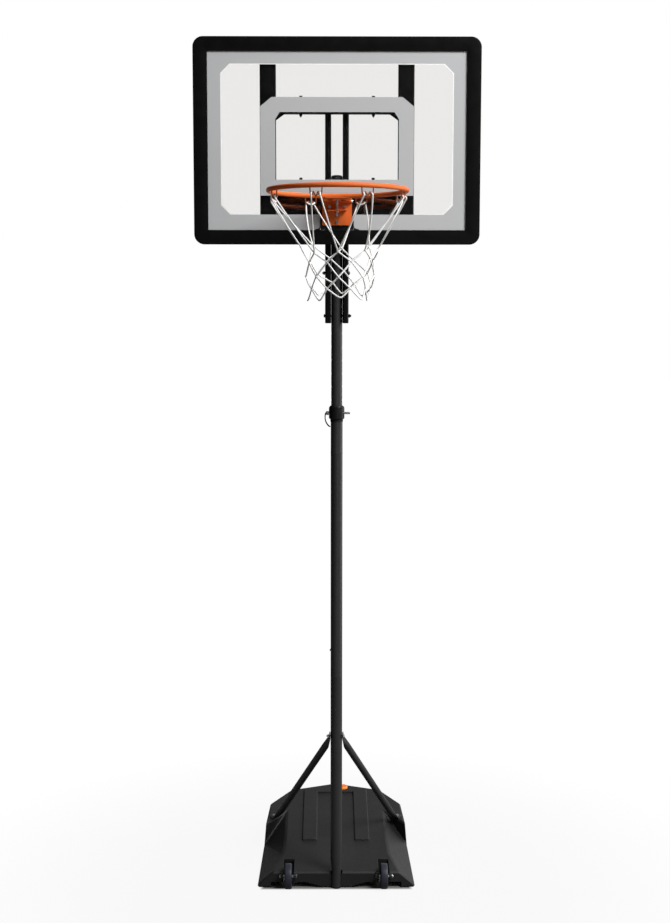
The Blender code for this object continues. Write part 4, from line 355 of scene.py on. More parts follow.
grey_ink = printed_ink("screen_ink_light_grey", "B2B3B4", 0.40)
white_ink = printed_ink("screen_ink_white", "F4F5F5", 0.40)
black_ink = printed_ink("screen_ink_black", "0A0A0B", 0.45)
print("inks:", grey_ink.name, white_ink.name, black_ink.name)

# %% [markdown]
# The net is braided polyester cord. Its strands cross in two sets of spirals. Along the cord and around
# it, the UV map holds real millimetres and turns, so the two spirals are two sine waves, one leaning
# each way, and the higher of them is the strand on top. The real braid repeats every 3 mm; it is drawn
# at 5 mm so that it shows from close by. Sheen gives the soft edge of loose fibres.

# %% Braided cord
BRAID_MM = 5.0


def braided_cord(name, colour, shade):
    """Height = the higher of sin(along + 3 around) and sin(along - 3 around); the valleys get painted
    shade.
    """
    material, tree, shader = start_finish(name, colour, {"Roughness": 0.82, "Sheen Weight": 0.35,
                                                         "Specular IOR Level": 0.25})
    place = add(tree, "UVMap", uv_map="cord")
    split = add(tree, "SeparateXYZ", {"Vector": place.outputs["UV"]})
    along = add(tree, "Math", {0: split.outputs["X"], 1: math.tau / (BRAID_MM * MM)}, operation="MULTIPLY")
    strands = []
    for lean in (3.0, -3.0):
        around = add(tree, "Math", {0: split.outputs["Y"], 1: lean * math.tau, 2: along.outputs["Value"]},
                     operation="MULTIPLY_ADD")
        strands.append(add(tree, "Math", {0: around.outputs["Value"]}, operation="SINE").outputs["Value"])
    top = add(tree, "Math", {0: strands[0], 1: strands[1]}, operation="MAXIMUM")
    depth = add(tree, "MapRange", {"Value": top.outputs["Value"], "From Min": -0.6, "From Max": 0.8})
    # The low valleys of the braid take the darker colour: painted shade between the strands.
    mixed = add(tree, "Mix", {"Factor": depth.outputs["Result"], "A": linear(shade), "B": linear(colour)},
                data_type="RGBA")
    tree.links.new(mixed.outputs["Result"], shader.inputs["Base Color"])
    bump = add(tree, "Bump", {"Height": depth.outputs["Result"], "Strength": 0.5, "Distance": 0.4 * MM})
    tree.links.new(bump.outputs["Normal"], shader.inputs["Normal"])
    return material


# The second colour is painted shade for the braid's valleys; the cord itself is the first.
net_cord = braided_cord("polyester_cord_braided", "F2F2F0", "D2D2D0")
print("net finish:", net_cord.name)

# %% [markdown]
# Each CAD node names a material slot. Giving it the finish of that slot dresses all 59 of them, and the
# few blackened ones get the oxide instead. The CAD meshes are loose triangles with flat shading, and
# their own mesh stays as it is. A modifier made of geometry nodes forgets the flat normals, welds the
# triangles and shades smooth wherever two facets meet at less than a set angle, and a Weighted Normal
# modifier keeps the large flats flat. The tank's slopes meet at small angles, so its own angle is less.

# %% The finish of every CAD node
FINISHES = {
    "tank": tank_plastic, "cap": cap_plastic, "rubber": gasket_rubber, "wheel": wheel_plastic, "zinc": zinc,
    "spring": spring_wire, "pole": pole_coat, "frame": frame_coat, "plastic": black_nylon,
    "trim": trim_plastic, "clear": polycarbonate, "rim": rim_coat, "net": net_cord,
}
SMOOTH_UNDER, TANK_SMOOTH_UNDER = math.radians(34), math.radians(8)


def smoothing_nodes(name, smooth_under):
    """Geometry nodes: drop stored normals, weld, and shade smooth except where facets meet more sharply."""
    tree = bpy.data.node_groups.new(name, "GeometryNodeTree")
    tree.interface.new_socket("Geometry", in_out="INPUT", socket_type="NodeSocketGeometry")
    tree.interface.new_socket("Geometry", in_out="OUTPUT", socket_type="NodeSocketGeometry")
    chain = [tree.nodes.new("NodeGroupInput")]
    for kind in ("RemoveAttribute", "MergeByDistance", "SetShadeSmooth", "SetShadeSmooth"):
        chain.append(tree.nodes.new("GeometryNode" + kind))
    chain.append(tree.nodes.new("NodeGroupOutput"))
    for before, after in zip(chain, chain[1:]):
        tree.links.new(before.outputs[0], after.inputs[0])
    forget, weld, faces, edges = chain[1:5]
    forget.inputs["Name"].default_value = "custom_normal"
    weld.inputs["Distance"].default_value = 0.01 * MM
    faces.domain = "FACE"
    edges.domain = "EDGE"
    angle = tree.nodes.new("GeometryNodeInputMeshEdgeAngle")
    gentle = tree.nodes.new("FunctionNodeCompare")
    gentle.operation = "LESS_THAN"
    gentle.inputs["B"].default_value = smooth_under
    tree.links.new(angle.outputs["Unsigned Angle"], gentle.inputs["A"])
    tree.links.new(gentle.outputs["Result"], edges.inputs["Shade Smooth"])
    return tree


smoothing = smoothing_nodes("weld_and_smooth", SMOOTH_UNDER)
tank_smoothing = smoothing_nodes("weld_and_keep_facets", TANK_SMOOTH_UNDER)
slots = {part["node"]: part["material_slot"] for part in frame["record"]["subparts"]}
blackened = ("strap_bolt_lower", "strap_bolt_upper", "strap_nut_lower", "strap_nut_upper", "lock_pin_bail")
for node, solid in frame["nodes"].items():
    for place in solid.material_slots:
        place.material = black_oxide if node in blackened else FINISHES[slots[node]]
    smoother = solid.modifiers.new("weld_and_smooth", "NODES")
    smoother.node_group = tank_smoothing if node == "base_tank" else smoothing
    flats = solid.modifiers.new("keep_flats_flat", "WEIGHTED_NORMAL")
    flats.keep_sharp = True
print("dressed", len(frame["nodes"]), "CAD nodes in", len(set(slots.values())), "finishes")

# %% [markdown]
# A blown tank has no sharp edge anywhere: the soft plastic can't fill a sharp corner of the mould. The
# solid's edges are sharp, so two more modifiers round them. The first joins the flat facets into whole
# faces, and the second rounds every edge where two faces meet by more than a set angle.

# %% Rounded edges of the tank
TANK_ROUND = 3.0 * MM
FLAT_WITHIN = math.radians(0.5)
tank = frame["nodes"]["base_tank"]
joined = tank.modifiers.new("join_flat_facets", "DECIMATE")
joined.decimate_type = "DISSOLVE"
joined.angle_limit = FLAT_WITHIN
rounded = tank.modifiers.new("round_the_edges", "BEVEL")
rounded.limit_method = "ANGLE"
rounded.angle_limit = TANK_SMOOTH_UNDER
rounded.width = TANK_ROUND
rounded.segments = 2
rounded.harden_normals = True
print("tank edges rounded by", TANK_ROUND, "m")

# %% [markdown]
# New pieces are surfaces worked out with numpy. A surface is a grid of points, and its faces join
# neighbours in the grid, going round where the surface closes on itself. A shell is the points, the
# four-sided faces, the end caps and the UV of each face's corners. One function turns a list of shells
# into a piece that rides on a body. The UV map is named for the cord, whose finish is the one that
# reads it.


# %% From arrays to a piece
def grid_faces(rows, columns, closed_rows=False, closed_columns=True):
    """Four-sided faces of a rows by columns grid, and their corners' (row, column) for a UV map."""
    row, column = np.meshgrid(np.arange(rows if closed_rows else rows - 1),
                              np.arange(columns if closed_columns else columns - 1), indexing="ij")
    row, column = row.ravel(), column.ravel()
    corners = [(row, column), (row, column + 1), (row + 1, column + 1), (row + 1, column)]
    faces = np.stack([(r % rows) * columns + c % columns for r, c in corners], axis=1)
    return faces, np.stack([np.stack(corner, axis=1) for corner in corners], axis=1).astype(float)


def new_piece(name, shells, body, material, sharp=35.0):
    """A mesh of several closed shells at the origin, its faces turned outwards, that rides on a body."""
    points, faces, uvs, first = [], [], [], 0
    for shell_points, quads, caps, uv in shells:
        points.append(shell_points)
        faces += (quads + first).tolist() + [(np.asarray(cap) + first).tolist() for cap in caps]
        uvs += [np.asarray(uv, float).reshape(-1, 2)] + [np.zeros((len(cap), 2)) for cap in caps]
        first += len(shell_points)
    mesh = bpy.data.meshes.new(name)
    mesh.from_pydata(np.concatenate(points), [], faces, shade_flat=False)
    layer = mesh.uv_layers.new(name="cord")
    layer.uv.foreach_set("vector", np.concatenate(uvs).ravel().astype(np.float32))
    bm = bmesh.new()
    bm.from_mesh(mesh)
    bmesh.ops.recalc_face_normals(bm, faces=bm.faces)
    bm.to_mesh(mesh)
    bm.free()
    mesh.set_sharp_from_angle(angle=math.radians(sharp))
    mesh.materials.append(material)
    piece = bpy.data.objects.new(name, mesh)
    bpy.context.collection.objects.link(piece)
    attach(piece, body)
    print(name, "has", len(mesh.vertices), "points and", len(mesh.polygons), "faces")
    return piece


def unit(vectors):
    """Vectors divided by their lengths."""
    return vectors / np.linalg.norm(vectors, axis=-1, keepdims=True)


print("a grid of 3 rows of 4 that closes round has", len(grid_faces(3, 4)[0]), "faces")

# %% [markdown]
# Cords, wires and bars are round tubes along a path. At each point the path's direction and a chosen
# reference direction give a frame: side is square to both, and up is square to the path and side. The
# tube is a circle in that frame, carried along the path. The reference has to stay clear of the path's
# own direction, so each bar, wire and cord below names its own.


# %% A tube along a path
def tube(path, reference, radius, sides, closed=False):
    """Point (i, j) = path i + radius i * (cos(turn j) side + sin(turn j) up). Open ends get flat caps."""
    path = np.asarray(path, float)
    if closed:
        tangent = unit(np.roll(path, -1, axis=0) - np.roll(path, 1, axis=0))
    else:
        tangent = unit(np.gradient(path, axis=0))
    side = unit(np.cross(tangent, np.broadcast_to(reference, path.shape)))
    up = np.cross(side, tangent)
    turn = np.linspace(0, math.tau, sides, endpoint=False)
    radius = np.broadcast_to(radius, len(path))[:, None, None]
    ring = np.cos(turn)[None, :, None] * side[:, None, :] + np.sin(turn)[None, :, None] * up[:, None, :]
    points = (path[:, None, :] + radius * ring).reshape(-1, 3)
    faces, corners = grid_faces(len(path), sides, closed_rows=closed)
    caps = [] if closed else [np.arange(sides), np.arange(sides) + (len(path) - 1) * sides]
    steps = np.linalg.norm(np.diff(path, axis=0, append=path[:1]), axis=1)
    length = np.concatenate([[0.0], np.cumsum(steps)])
    uv = np.stack([length[corners[..., 0].astype(int)], corners[..., 1] / sides], axis=-1)
    return points, faces, caps, uv


def smoothed(path, rounds, closed=False):
    """Corner cutting: each stretch gives points at a quarter and three quarters; open ends stay."""
    path = np.asarray(path, float)
    for _ in range(rounds):
        after = np.roll(path, -1, axis=0) if closed else path[1:]
        before = path if closed else path[:-1]
        cut = np.stack([before * 0.75 + after * 0.25, before * 0.25 + after * 0.75], axis=1)
        cut = cut.reshape(-1, path.shape[1])
        path = cut if closed else np.concatenate([path[:1], cut, path[-1:]])
    return path


print("tube and smoothing ready")

# %% [markdown]
# The ring is a round steel bar bent to a circle and welded to a small plate that carries the hinge
# knuckles. Eight W-shaped wires are welded under the bar; the net hangs in their loops. Its sizes come
# from the frame's box of the CAD ring, and the bar's and wires' own sizes are those of the CAD part.

# %% The ring's sizes
RIM_RADIUS = 190.5 * MM
BAR_RADIUS = 6.8 * MM
ring_low, ring_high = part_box("rim_ring")
RIM_HEIGHT = ring_high.z - BAR_RADIUS
RIM_Y = ring_low.y + RIM_RADIUS + BAR_RADIUS
HOOKS = 8
HOOK_WIRE = 1.9 * MM
hinge = next(joint for joint in frame["joints"] if joint["name"] == "rim_break")
HINGE_Y, HINGE_Z = hinge["pos_m"][1], hinge["pos_m"][2]
print("ring centre at y", round(RIM_Y, 4), "and height", round(RIM_HEIGHT, 4))


def on_ring(turn, along, radius, drop):
    """x = r sin a, y = centre - r cos a, z = ring height - drop, where a = turn + along / ring radius."""
    angle = turn + np.asarray(along) / RIM_RADIUS
    x, y, z = np.broadcast_arrays(radius * np.sin(angle), RIM_Y - radius * np.cos(angle),
                                  RIM_HEIGHT - np.asarray(drop, float))
    return np.stack([x, y, z], axis=-1)


def away_from_axis(points):
    """The direction from the ring's axis out to each point, level with the floor."""
    out = np.array(points) - [0.0, RIM_Y, 0.0]
    out[..., 2] = 0.0
    return unit(out)


# %% [markdown]
# The bar is a closed tube round a circle. Each hook is one wire bent to a W: its ends are welded under
# the bar, its two loops carry the net's cord, and its middle points down between them. Half of the wire
# is listed as distances along the bar and below it, and the other half mirrors it. A small bead of weld
# sits at each end. The hooks were placed by hand, so each is a degree or more off its even place.

# %% The bar and its hooks
# The hook's half width and its loop's middle and radius, in millimetres
HOOK_HALF = 17.0
LOOP_ALONG, LOOP_DROP, LOOP_RADIUS = 12.0, 20.0, 4.2
BEAD_SIZE = np.array([3.0, 3.0, 1.7]) * MM
BEAD_CUT = 0.15


def ring_bar():
    """A torus: the path is a circle of RIM_RADIUS, and the tube's radius is the bar's."""
    turn = np.linspace(0, math.tau, 180, endpoint=False)
    path = on_ring(turn, 0.0, RIM_RADIUS, 0.0)
    return tube(path, (0.0, 0.0, 1.0), BAR_RADIUS, 24, closed=True)


def hook_wire(turn):
    """A W of wire: down from the bar, round a loop, up to a peak, down to the middle, and mirrored."""
    bend = np.linspace(0, math.pi, 5)
    loop_along = LOOP_ALONG + LOOP_RADIUS * np.cos(bend)
    loop_drop = LOOP_DROP + LOOP_RADIUS * np.sin(bend)
    along = np.concatenate([[HOOK_HALF, 16.6], loop_along, [6.4, 1.6, 0.0]]) * MM
    drop = np.concatenate([[4.6, 12.0], loop_drop, [15.0, 27.6, 30.0]]) * MM
    along = np.concatenate([along, -along[-2::-1]])
    drop = np.concatenate([drop, drop[-2::-1]])
    path = smoothed(on_ring(turn, along, RIM_RADIUS, drop), 2)
    return tube(path, away_from_axis(path), HOOK_WIRE, 10)


def blob(centre, size, rows=7, columns=12):
    """A weld bead: x = a sin u cos v, y = b sin u sin v, z = c cos u, capped just before its two poles."""
    u, v = np.meshgrid(np.linspace(BEAD_CUT, math.pi - BEAD_CUT, rows),
                       np.linspace(0, math.tau, columns, endpoint=False), indexing="ij")
    shape = np.stack([np.sin(u) * np.cos(v), np.sin(u) * np.sin(v), np.cos(u)], axis=-1).reshape(-1, 3)
    faces, corners = grid_faces(rows, columns)
    caps = [np.arange(columns), np.arange(columns) + (rows - 1) * columns]
    return np.asarray(centre) + shape * size, faces, caps, corners


HOOK_SHIFTS = np.radians([1.7, 2.0, 1.5, 1.2, 1.3, 2.0, 3.0, 4.6])
hook_turns = math.tau * (np.arange(HOOKS) + 0.5) / HOOKS + HOOK_SHIFTS
ring_shells = [ring_bar()]
hook_shells = [hook_wire(turn) for turn in hook_turns]
for turn in hook_turns:
    for end in (HOOK_HALF * MM, -HOOK_HALF * MM):
        ring_shells.append(blob(on_ring(turn, end, RIM_RADIUS, BAR_RADIUS - 0.6 * MM), BEAD_SIZE))
print("bar and weld beads:", len(ring_shells), "shells, and", len(hook_shells), "hooks")

# %% [markdown]
# The plate under the bar is a trapezium with a slot for the spring bolt. A plate with one hole is a ring
# of points: outer edge on top, outer edge below, hole edge below, hole edge on top, and back. For that
# both edges need the same number of points, so each is sampled at equal angles round the slot's centre.
# The hinge's two moving knuckles are rounds drawn out to the plate. Beads of weld join plate and bar.

# %% The ring's plate and knuckles
PLATE_INTO_BAR = 1.8 * MM
PLATE_THICK = 2.5 * MM
PLATE_TO_HINGE = 8.0 * MM
PLATE_REAR_HALF = 43.0 * MM
PLATE_FRONT_HALF = 38.0 * MM
PLATE_EDGE_POINTS = 96
SLOT_HALF = 3.3 * MM
KNUCKLE_RADIUS = 6.0 * MM
KNUCKLE_SPANS = ((-26.75 * MM, -10.25 * MM), (10.25 * MM, 26.75 * MM))
PLATE_BEADS = np.linspace(-32, 32, 14) * MM
PLATE_BEAD_SIZE = np.array([3.4, 1.9, 1.5]) * MM
plate_top = RIM_HEIGHT - BAR_RADIUS + PLATE_INTO_BAR
plate_low = plate_top - PLATE_THICK
plate_rear = HINGE_Y - PLATE_TO_HINGE
plate_front = RIM_Y + RIM_RADIUS - BAR_RADIUS + 1.0 * MM
bolt_y = (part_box("spring_bolt")[0].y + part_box("spring_bolt")[1].y) / 2
slot_rear = bolt_y + SLOT_HALF + 1.0 * MM
slot_front = bolt_y - SLOT_HALF - 4.0 * MM


def edge_by_angle(corners, centre, count):
    """Where rays at equal angles from a centre meet a convex outline: each ray's nearest crossing."""
    corners = np.asarray(corners, float)
    start, side = corners, np.roll(corners, -1, axis=0) - corners
    turn = np.linspace(0, math.tau, count, endpoint=False)
    ray = np.stack([np.cos(turn), np.sin(turn)], axis=1)[:, None, :]
    gap = (start - centre)[None, :, :]
    cross = ray[..., 0] * side[None, :, 1] - ray[..., 1] * side[None, :, 0]
    cross = np.where(np.abs(cross) < 1e-12, 1e-12, cross)
    reach = (gap[..., 0] * side[None, :, 1] - gap[..., 1] * side[None, :, 0]) / cross
    share = (gap[..., 0] * ray[..., 1] - gap[..., 1] * ray[..., 0]) / cross
    hit = np.where((reach > 0) & (share > -1e-9) & (share < 1 + 1e-9), reach, np.inf).min(axis=1)
    return centre + hit[:, None] * ray[:, 0, :]


def slotted_plate():
    """The plate with its slot as one closed ring of edges; the outer ones are drawn in by a small round."""
    centre = np.array([0.0, (slot_rear + slot_front) / 2])
    outer = edge_by_angle([(-PLATE_REAR_HALF, plate_rear), (-PLATE_FRONT_HALF, plate_front),
                           (PLATE_FRONT_HALF, plate_front), (PLATE_REAR_HALF, plate_rear)],
                          centre, PLATE_EDGE_POINTS)
    slot = edge_by_angle([(-SLOT_HALF, slot_rear), (-SLOT_HALF, slot_front), (SLOT_HALF, slot_front),
                          (SLOT_HALF, slot_rear)], centre, PLATE_EDGE_POINTS)
    soft = 0.5 * MM
    steps = ((outer, soft, plate_top), (outer, 0.0, plate_top - soft), (outer, 0.0, plate_low + soft),
             (outer, soft, plate_low), (slot, 0.0, plate_low), (slot, 0.0, plate_top))
    loops = []
    for edge, inset, height in steps:
        drawn = edge - inset * unit(edge - centre)
        loops.append(np.column_stack([drawn, np.full(len(edge), height)]))
    faces, corners = grid_faces(len(loops), PLATE_EDGE_POINTS, closed_rows=True)
    return np.concatenate(loops), faces, [], corners


def knuckle(low_x, high_x):
    """A round of KNUCKLE_RADIUS about the hinge, drawn out to the plate and extruded along x."""
    turn = np.radians(np.linspace(144, 450, 24))
    root = plate_rear - 3 * MM
    y = np.concatenate([[root, root], HINGE_Y + KNUCKLE_RADIUS * np.cos(turn)])
    z = np.concatenate([[plate_top, plate_low + 0.4 * MM], HINGE_Z + KNUCKLE_RADIUS * np.sin(turn)])
    soft = 0.4 * MM
    middle = np.array([y.mean(), z.mean()])
    edge = np.column_stack([y, z])
    loops = []
    for x, inset in ((low_x, soft), (low_x + soft, 0.0), (high_x - soft, 0.0), (high_x, soft)):
        drawn = edge - inset * unit(edge - middle)
        loops.append(np.column_stack([np.full(len(edge), x), drawn]))
    faces, corners = grid_faces(len(loops), len(edge))
    count = len(edge)
    return np.concatenate(loops), faces, [np.arange(count), np.arange(count) + 3 * count], corners


ring_shells.append(slotted_plate())
ring_shells += [knuckle(low_x, high_x) for low_x, high_x in KNUCKLE_SPANS]
for side in PLATE_BEADS:
    under_bar = RIM_Y + math.sqrt(RIM_RADIUS ** 2 - side ** 2) - 5.4 * MM
    ring_shells.append(blob((side, under_bar, plate_top + 0.2 * MM), PLATE_BEAD_SIZE))
ring = new_piece("hoop_ring_and_plate", ring_shells, "rim", rim_coat, sharp=40.0)
new_piece("net_hooks", hook_shells, "rim", hook_coat_with_painted_shade, sharp=60.0)
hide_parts("rim_ring")

# %% [markdown]
# The net is eight cords. Each lies in both loops of one hook and passes inside the hook's middle; its
# two halves go out over the loops and hang down and inwards. A half meets its neighbour at a knot
# half-way between two hooks, parts, and meets the other half under the hook, row after row, which makes
# the diamonds. No net hangs perfectly, so the place of every knot is given: its turn from the front in
# degrees, its distance from the ring's axis and its height above the floor in millimetres. The last row
# holds the lowest points of the loops at the bottom. A few cords bow out slackly.

# %% The net's knots
CORD = 2.1 * MM
KNOTS = np.array([
    [(43, 108, 1969), (91, 112, 1975), (131, 118, 1984), (173, 108, 1980),
     (222, 102, 1987), (272, 101, 1980), (321, 101, 1961), (360, 108, 1964)],
    [(23, 94, 1938), (70, 95, 1948), (112, 108, 1947), (152, 94, 1949),
     (193, 94, 1953), (245, 85, 1943), (297, 87, 1936), (342, 94, 1936)],
    [(46, 95, 1896), (91, 102, 1904), (128, 108, 1911), (169, 95, 1917),
     (221, 86, 1908), (273, 87, 1899), (320, 91, 1898), (361, 95, 1896)],
    [(24, 86, 1865), (66, 84, 1867), (108, 98, 1867), (147, 86, 1881),
     (189, 86, 1884), (243, 78, 1868), (297, 80, 1864), (340, 86, 1865)],
    [(50, 87, 1836), (90, 82, 1834), (128, 89, 1847), (171, 83, 1854),
     (220, 81, 1848), (272, 83, 1833), (321, 79, 1833), (365, 83, 1841)]], float)
knot_turns = np.radians(KNOTS[..., 0])
knots = np.stack([KNOTS[..., 1] * MM * np.sin(knot_turns), RIM_Y - KNOTS[..., 1] * MM * np.cos(knot_turns),
                  KNOTS[..., 2] * MM], axis=-1)
knots, loop_lows = knots[:4], knots[4]
chance = np.random.default_rng(11)
upper_bows = chance.uniform(1.0, 3.0, (HOOKS, 2)) * MM
upper_bows[0, 1], upper_bows[3, 0], upper_bows[4, 1] = 8.0 * MM, 7.0 * MM, 9.0 * MM
print("knots:", knots.shape[0], "rows of", knots.shape[1])

# %% [markdown]
# A cord's path is put together from three parts: the bend over the hook's loop, one sagging stretch to
# each knot, and half of a loop at the bottom. A stretch is a straight line with a parabola added to it.
# Half a cord is made at a time, because its two halves hang from the same hook to different knots.

# %% The path of a cord
SAG_DOWN, SAG_OUT = 0.4, 0.9
UPPER_POINTS, LOWER_POINTS = 22, 12


def stretch(start, end, sag, count):
    """A sagging cord: start + t (end - start) + 4 t (1 - t) sag, outwards and a little down."""
    t = np.linspace(0, 1, count, endpoint=False)[:, None]
    middle = away_from_axis(((np.asarray(start) + end) / 2)[None])[0]
    pull = np.array([0.0, 0.0, -SAG_DOWN]) + middle * SAG_OUT
    return start + t * (np.asarray(end) - start) + 4 * t * (1 - t) * sag * pull


def half_cord(index, sign):
    """From inside the hook's middle out over its loop, down through four knots, and half a bottom loop."""
    # The bend over the hook's loop: along the bar, outwards from it and below it
    along = np.array([0.0, 5.0, 9.0, 11.5, 12.0, 12.2, 12.3, 12.4]) * MM * sign
    outwards = np.array([-4.4, -4.3, -3.6, -1.8, 0.6, 3.2, 4.1, 3.6]) * MM
    drop = np.array([25.6, 25.2, 23.2, 20.7, 20.2, 21.8, 24.2, 26.2]) * MM
    loop = on_ring(hook_turns[index], along, RIM_RADIUS + outwards, drop)
    column = index if sign > 0 else index - 1
    stops = [knots[row, column if row % 2 == 0 else index] for row in range(len(knots))]
    parts = [loop, stretch(loop[-1], stops[0], upper_bows[index, int(sign > 0)], UPPER_POINTS)[1:]]
    for before, after in zip(stops, stops[1:]):
        parts.append(stretch(before, after, chance.uniform(0.5, 2.5) * MM, LOWER_POINTS))
    parts.append(bottom_loop(stops[-1], loop_lows[column]))
    return np.concatenate(parts)


def bottom_loop(start, low):
    """Straight in plan; the height follows a hyperbola, steep at the knot and level at the lowest point."""
    t = np.linspace(0, 1, LOWER_POINTS)[:, None]
    soft = 0.2
    share = (math.hypot(1, soft) - np.hypot(1 - t, soft)) / (math.hypot(1, soft) - soft)
    return start + (low - start) * np.concatenate([t, t, share], axis=1)


def twist_free(path):
    """A tube's reference: upwards where the cord lies over a loop, away from the ring's axis below."""
    loop_bottom = RIM_HEIGHT - (LOOP_DROP + LOOP_RADIUS) * MM
    lift = np.clip((path[:, 2:] - loop_bottom) / (4 * MM), 0, 1)
    return unit(lift * np.array([0.0, 0.0, 1.0]) + (1 - lift) * away_from_axis(path))


print("a cord sags", SAG_OUT, "outwards for", SAG_DOWN, "down")

# %% [markdown]
# Where two cords meet, one is tied round the other, and from a step away the knot reads as a turn and a
# half of cord round both. So each knot is a short helix with an upright axis.

# %% The net itself
KNOT_TURNS = 1.5
KNOT_REACH, KNOT_HEIGHT, KNOT_CORD = 2.3 * MM, 3.4 * MM, 1.35 * MM


def knot_coil(centre):
    """A helix round a knot: reach times (cos a out + sin a along), sinking evenly over its turns."""
    turn = np.linspace(0, KNOT_TURNS * math.tau, 26)
    out = away_from_axis(centre[None])[0]
    along = np.array([-out[1], out[0], 0.0])
    down = np.array([0.0, 0.0, -1.0])
    path = centre + KNOT_REACH * (np.cos(turn)[:, None] * out + np.sin(turn)[:, None] * along)
    path = path + (turn[:, None] / (KNOT_TURNS * math.tau) - 0.5) * KNOT_HEIGHT * down
    return tube(path, down, KNOT_CORD, 8)


net_shells = []
for index in range(HOOKS):
    path = smoothed(np.concatenate([half_cord(index, -1)[:0:-1], half_cord(index, 1)]), 1)
    net_shells.append(tube(path, twist_free(path), CORD, 10))
net_shells += [knot_coil(centre) for centre in knots.reshape(-1, 3)]
net = new_piece("hoop_net", net_shells, "rim", net_cord, sharp=60.0)
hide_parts("net")

# %% [markdown]
# The return spring stands on the bracket's shelf round the spring bolt and pushes the plate up. It is a
# helix of round wire with closed ends: the last turn at each end lies flat. When the rim folds down it
# is pressed together; here the piece rides on the mast.

# %% The return spring
SPRING_RADIUS = 4.0 * MM
SPRING_WIRE = 1.0 * MM
SPRING_STEPS = 28
spring_low, spring_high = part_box("rim_spring")


def coil_spring(turns, flat_turns):
    """A helix: x = r cos a, y = r sin a; z rises slowly in the end turns and evenly between them."""
    angle = np.linspace(0, math.tau * turns, int(turns * SPRING_STEPS))
    bottom = spring_low.z + SPRING_WIRE
    top = spring_high.z - SPRING_WIRE
    closed = SPRING_WIRE * 2.1
    middle = np.clip((angle / math.tau - flat_turns) / (turns - 2 * flat_turns), 0, 1)
    ends = (np.clip(angle / math.tau / flat_turns, 0, 1)
            + np.clip((angle / math.tau - turns) / flat_turns + 1, 0, 1))
    height = bottom + ends * closed * flat_turns + middle * (top - bottom - 2 * closed * flat_turns)
    path = np.stack([SPRING_RADIUS * np.cos(angle), bolt_y + SPRING_RADIUS * np.sin(angle), height], axis=1)
    return tube(path, (0.0, 0.0, 1.0), SPRING_WIRE, 10)


spring = new_piece("rim_return_spring", [coil_spring(8.0, 1.0)], "mast", spring_wire, sharp=60.0)
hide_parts("rim_spring")
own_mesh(spring)

# %% [markdown]
# The lock pin's bail is a spring wire bent into a long loop. Its ends sit in an eye through the knob, and
# its foot rests against the pole. The solid's bends are few and sharp, so the wire is carried again along
# the same corners, cut round. Half of the loop is listed, and the other half mirrors it.

# %% The pin's wire bail
BAIL_WIRE = 1.6 * MM
BAIL_ACROSS, BAIL_DROP = 10.5 * MM, 41.0 * MM
bail_joint = next(joint for joint in frame["joints"] if joint["name"] == "bail_swing")
eye_x, _, eye_z = bail_joint["pos_m"]
foot_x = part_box("lock_pin_bail")[1].x - BAIL_WIRE


def bail_loop():
    """Corners as (mm out from the eye, share of the half width, share of the drop), mirrored, cut round."""
    arm = np.array([(0, 0, 0), (0, 0.85, 0), (2, 1, -0.05), (5, 1, 0), (7, 1, 0.23), (6, 1, 0.54),
                    (1, 1, 0.80)])
    foot = np.array([(4, 0.8, 0.955), (0, 0.3, 1.0)])
    half = np.concatenate([np.column_stack([start - part[:, 0] * MM, BAIL_ACROSS * part[:, 1],
                                            eye_z - BAIL_DROP * part[:, 2]])
                           for start, part in ((eye_x, arm), (foot_x, foot))])
    path = np.concatenate([half, half[:0:-1] * [1, -1, 1]])
    return tube(smoothed(path, 3, closed=True), (1.0, 0.0, 0.0), BAIL_WIRE, 12, closed=True)


bail = new_piece("lock_pin_wire_bail", [bail_loop()], "bail", black_oxide,
                 sharp=60.0)
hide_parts("lock_pin_bail")

# %% [markdown]
# The wheels and three thin bands on the pole are turned shapes: a profile of (radius, along) points
# carried round an axis. The sharp corners of a wheel's profile are cut twice, which leaves the small
# radius that every moulding has, and the round has enough steps to look round from close by.

# %% Turned pieces
WHEEL_BORE = 4.4  # a radius in millimetres, as in the wheel's profile


def turned(profile, origin, axis, sides=72):
    """Point (i, j) = origin + along i * axis + radius i * (cos, sin of turn j) across the axis."""
    axis = np.asarray(axis, float)
    first = np.array([0.0, 0.0, 1.0]) if abs(axis[2]) < 0.5 else np.array([1.0, 0.0, 0.0])
    second = np.cross(axis, first)
    turn = np.linspace(0, math.tau, sides, endpoint=False)
    radius, along = np.asarray(profile, float).T[:, :, None, None]
    across = np.cos(turn)[:, None] * first + np.sin(turn)[:, None] * second
    points = np.asarray(origin) + along * axis + radius * across[None]
    faces, corners = grid_faces(len(profile), sides, closed_rows=True)
    return points.reshape(-1, 3), faces, [], corners


def middle_of(node):
    """The centre of a CAD node's box."""
    low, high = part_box(node)
    return np.array([(a + b) / 2 for a, b in zip(low, high)])


def wheel_profile(radius, width, bore):
    """Half of the section from rim to bore, mirrored: a flat tread, a raised band, a dish and a hub."""
    half = width / 2
    face = np.array([(radius, half - 3.0), (radius - 3.0, half), (radius - 9.0, half),
                     (radius - 10.5, half - 4.0), (12.5, half - 4.0), (11.5, half),
                     (bore + 0.6, half), (bore, half - 0.6)])
    return smoothed(np.concatenate([face * [1, -1], face[::-1]])[::-1], 2, closed=True) * MM


for side in ("left", "right"):
    low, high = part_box("wheel_" + side)
    profile = wheel_profile((high.z - low.z) / 2 / MM, (high.x - low.x) / MM, WHEEL_BORE)
    shell = turned(profile, middle_of("wheel_" + side), (1.0, 0.0, 0.0))
    wheel = new_piece("wheel_turned_" + side, [shell], "wheel_body_" + side, wheel_plastic,
                      sharp=30.0)
    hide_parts("wheel_" + side)

# %% [markdown]
# Under the collar the pole has a black rubber band and a fine rolled lip, and a tenth of a metre further
# down a rolled bead. They stand out by about a millimetre, so each is a thin band round the pole. How
# far it stands out, where it starts and ends, its wall and the cut of its corners are all that differ.

# %% Bands on the pole
POLE_RADIUS = 18.0 * MM
collar_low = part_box("height_collar")[0].z


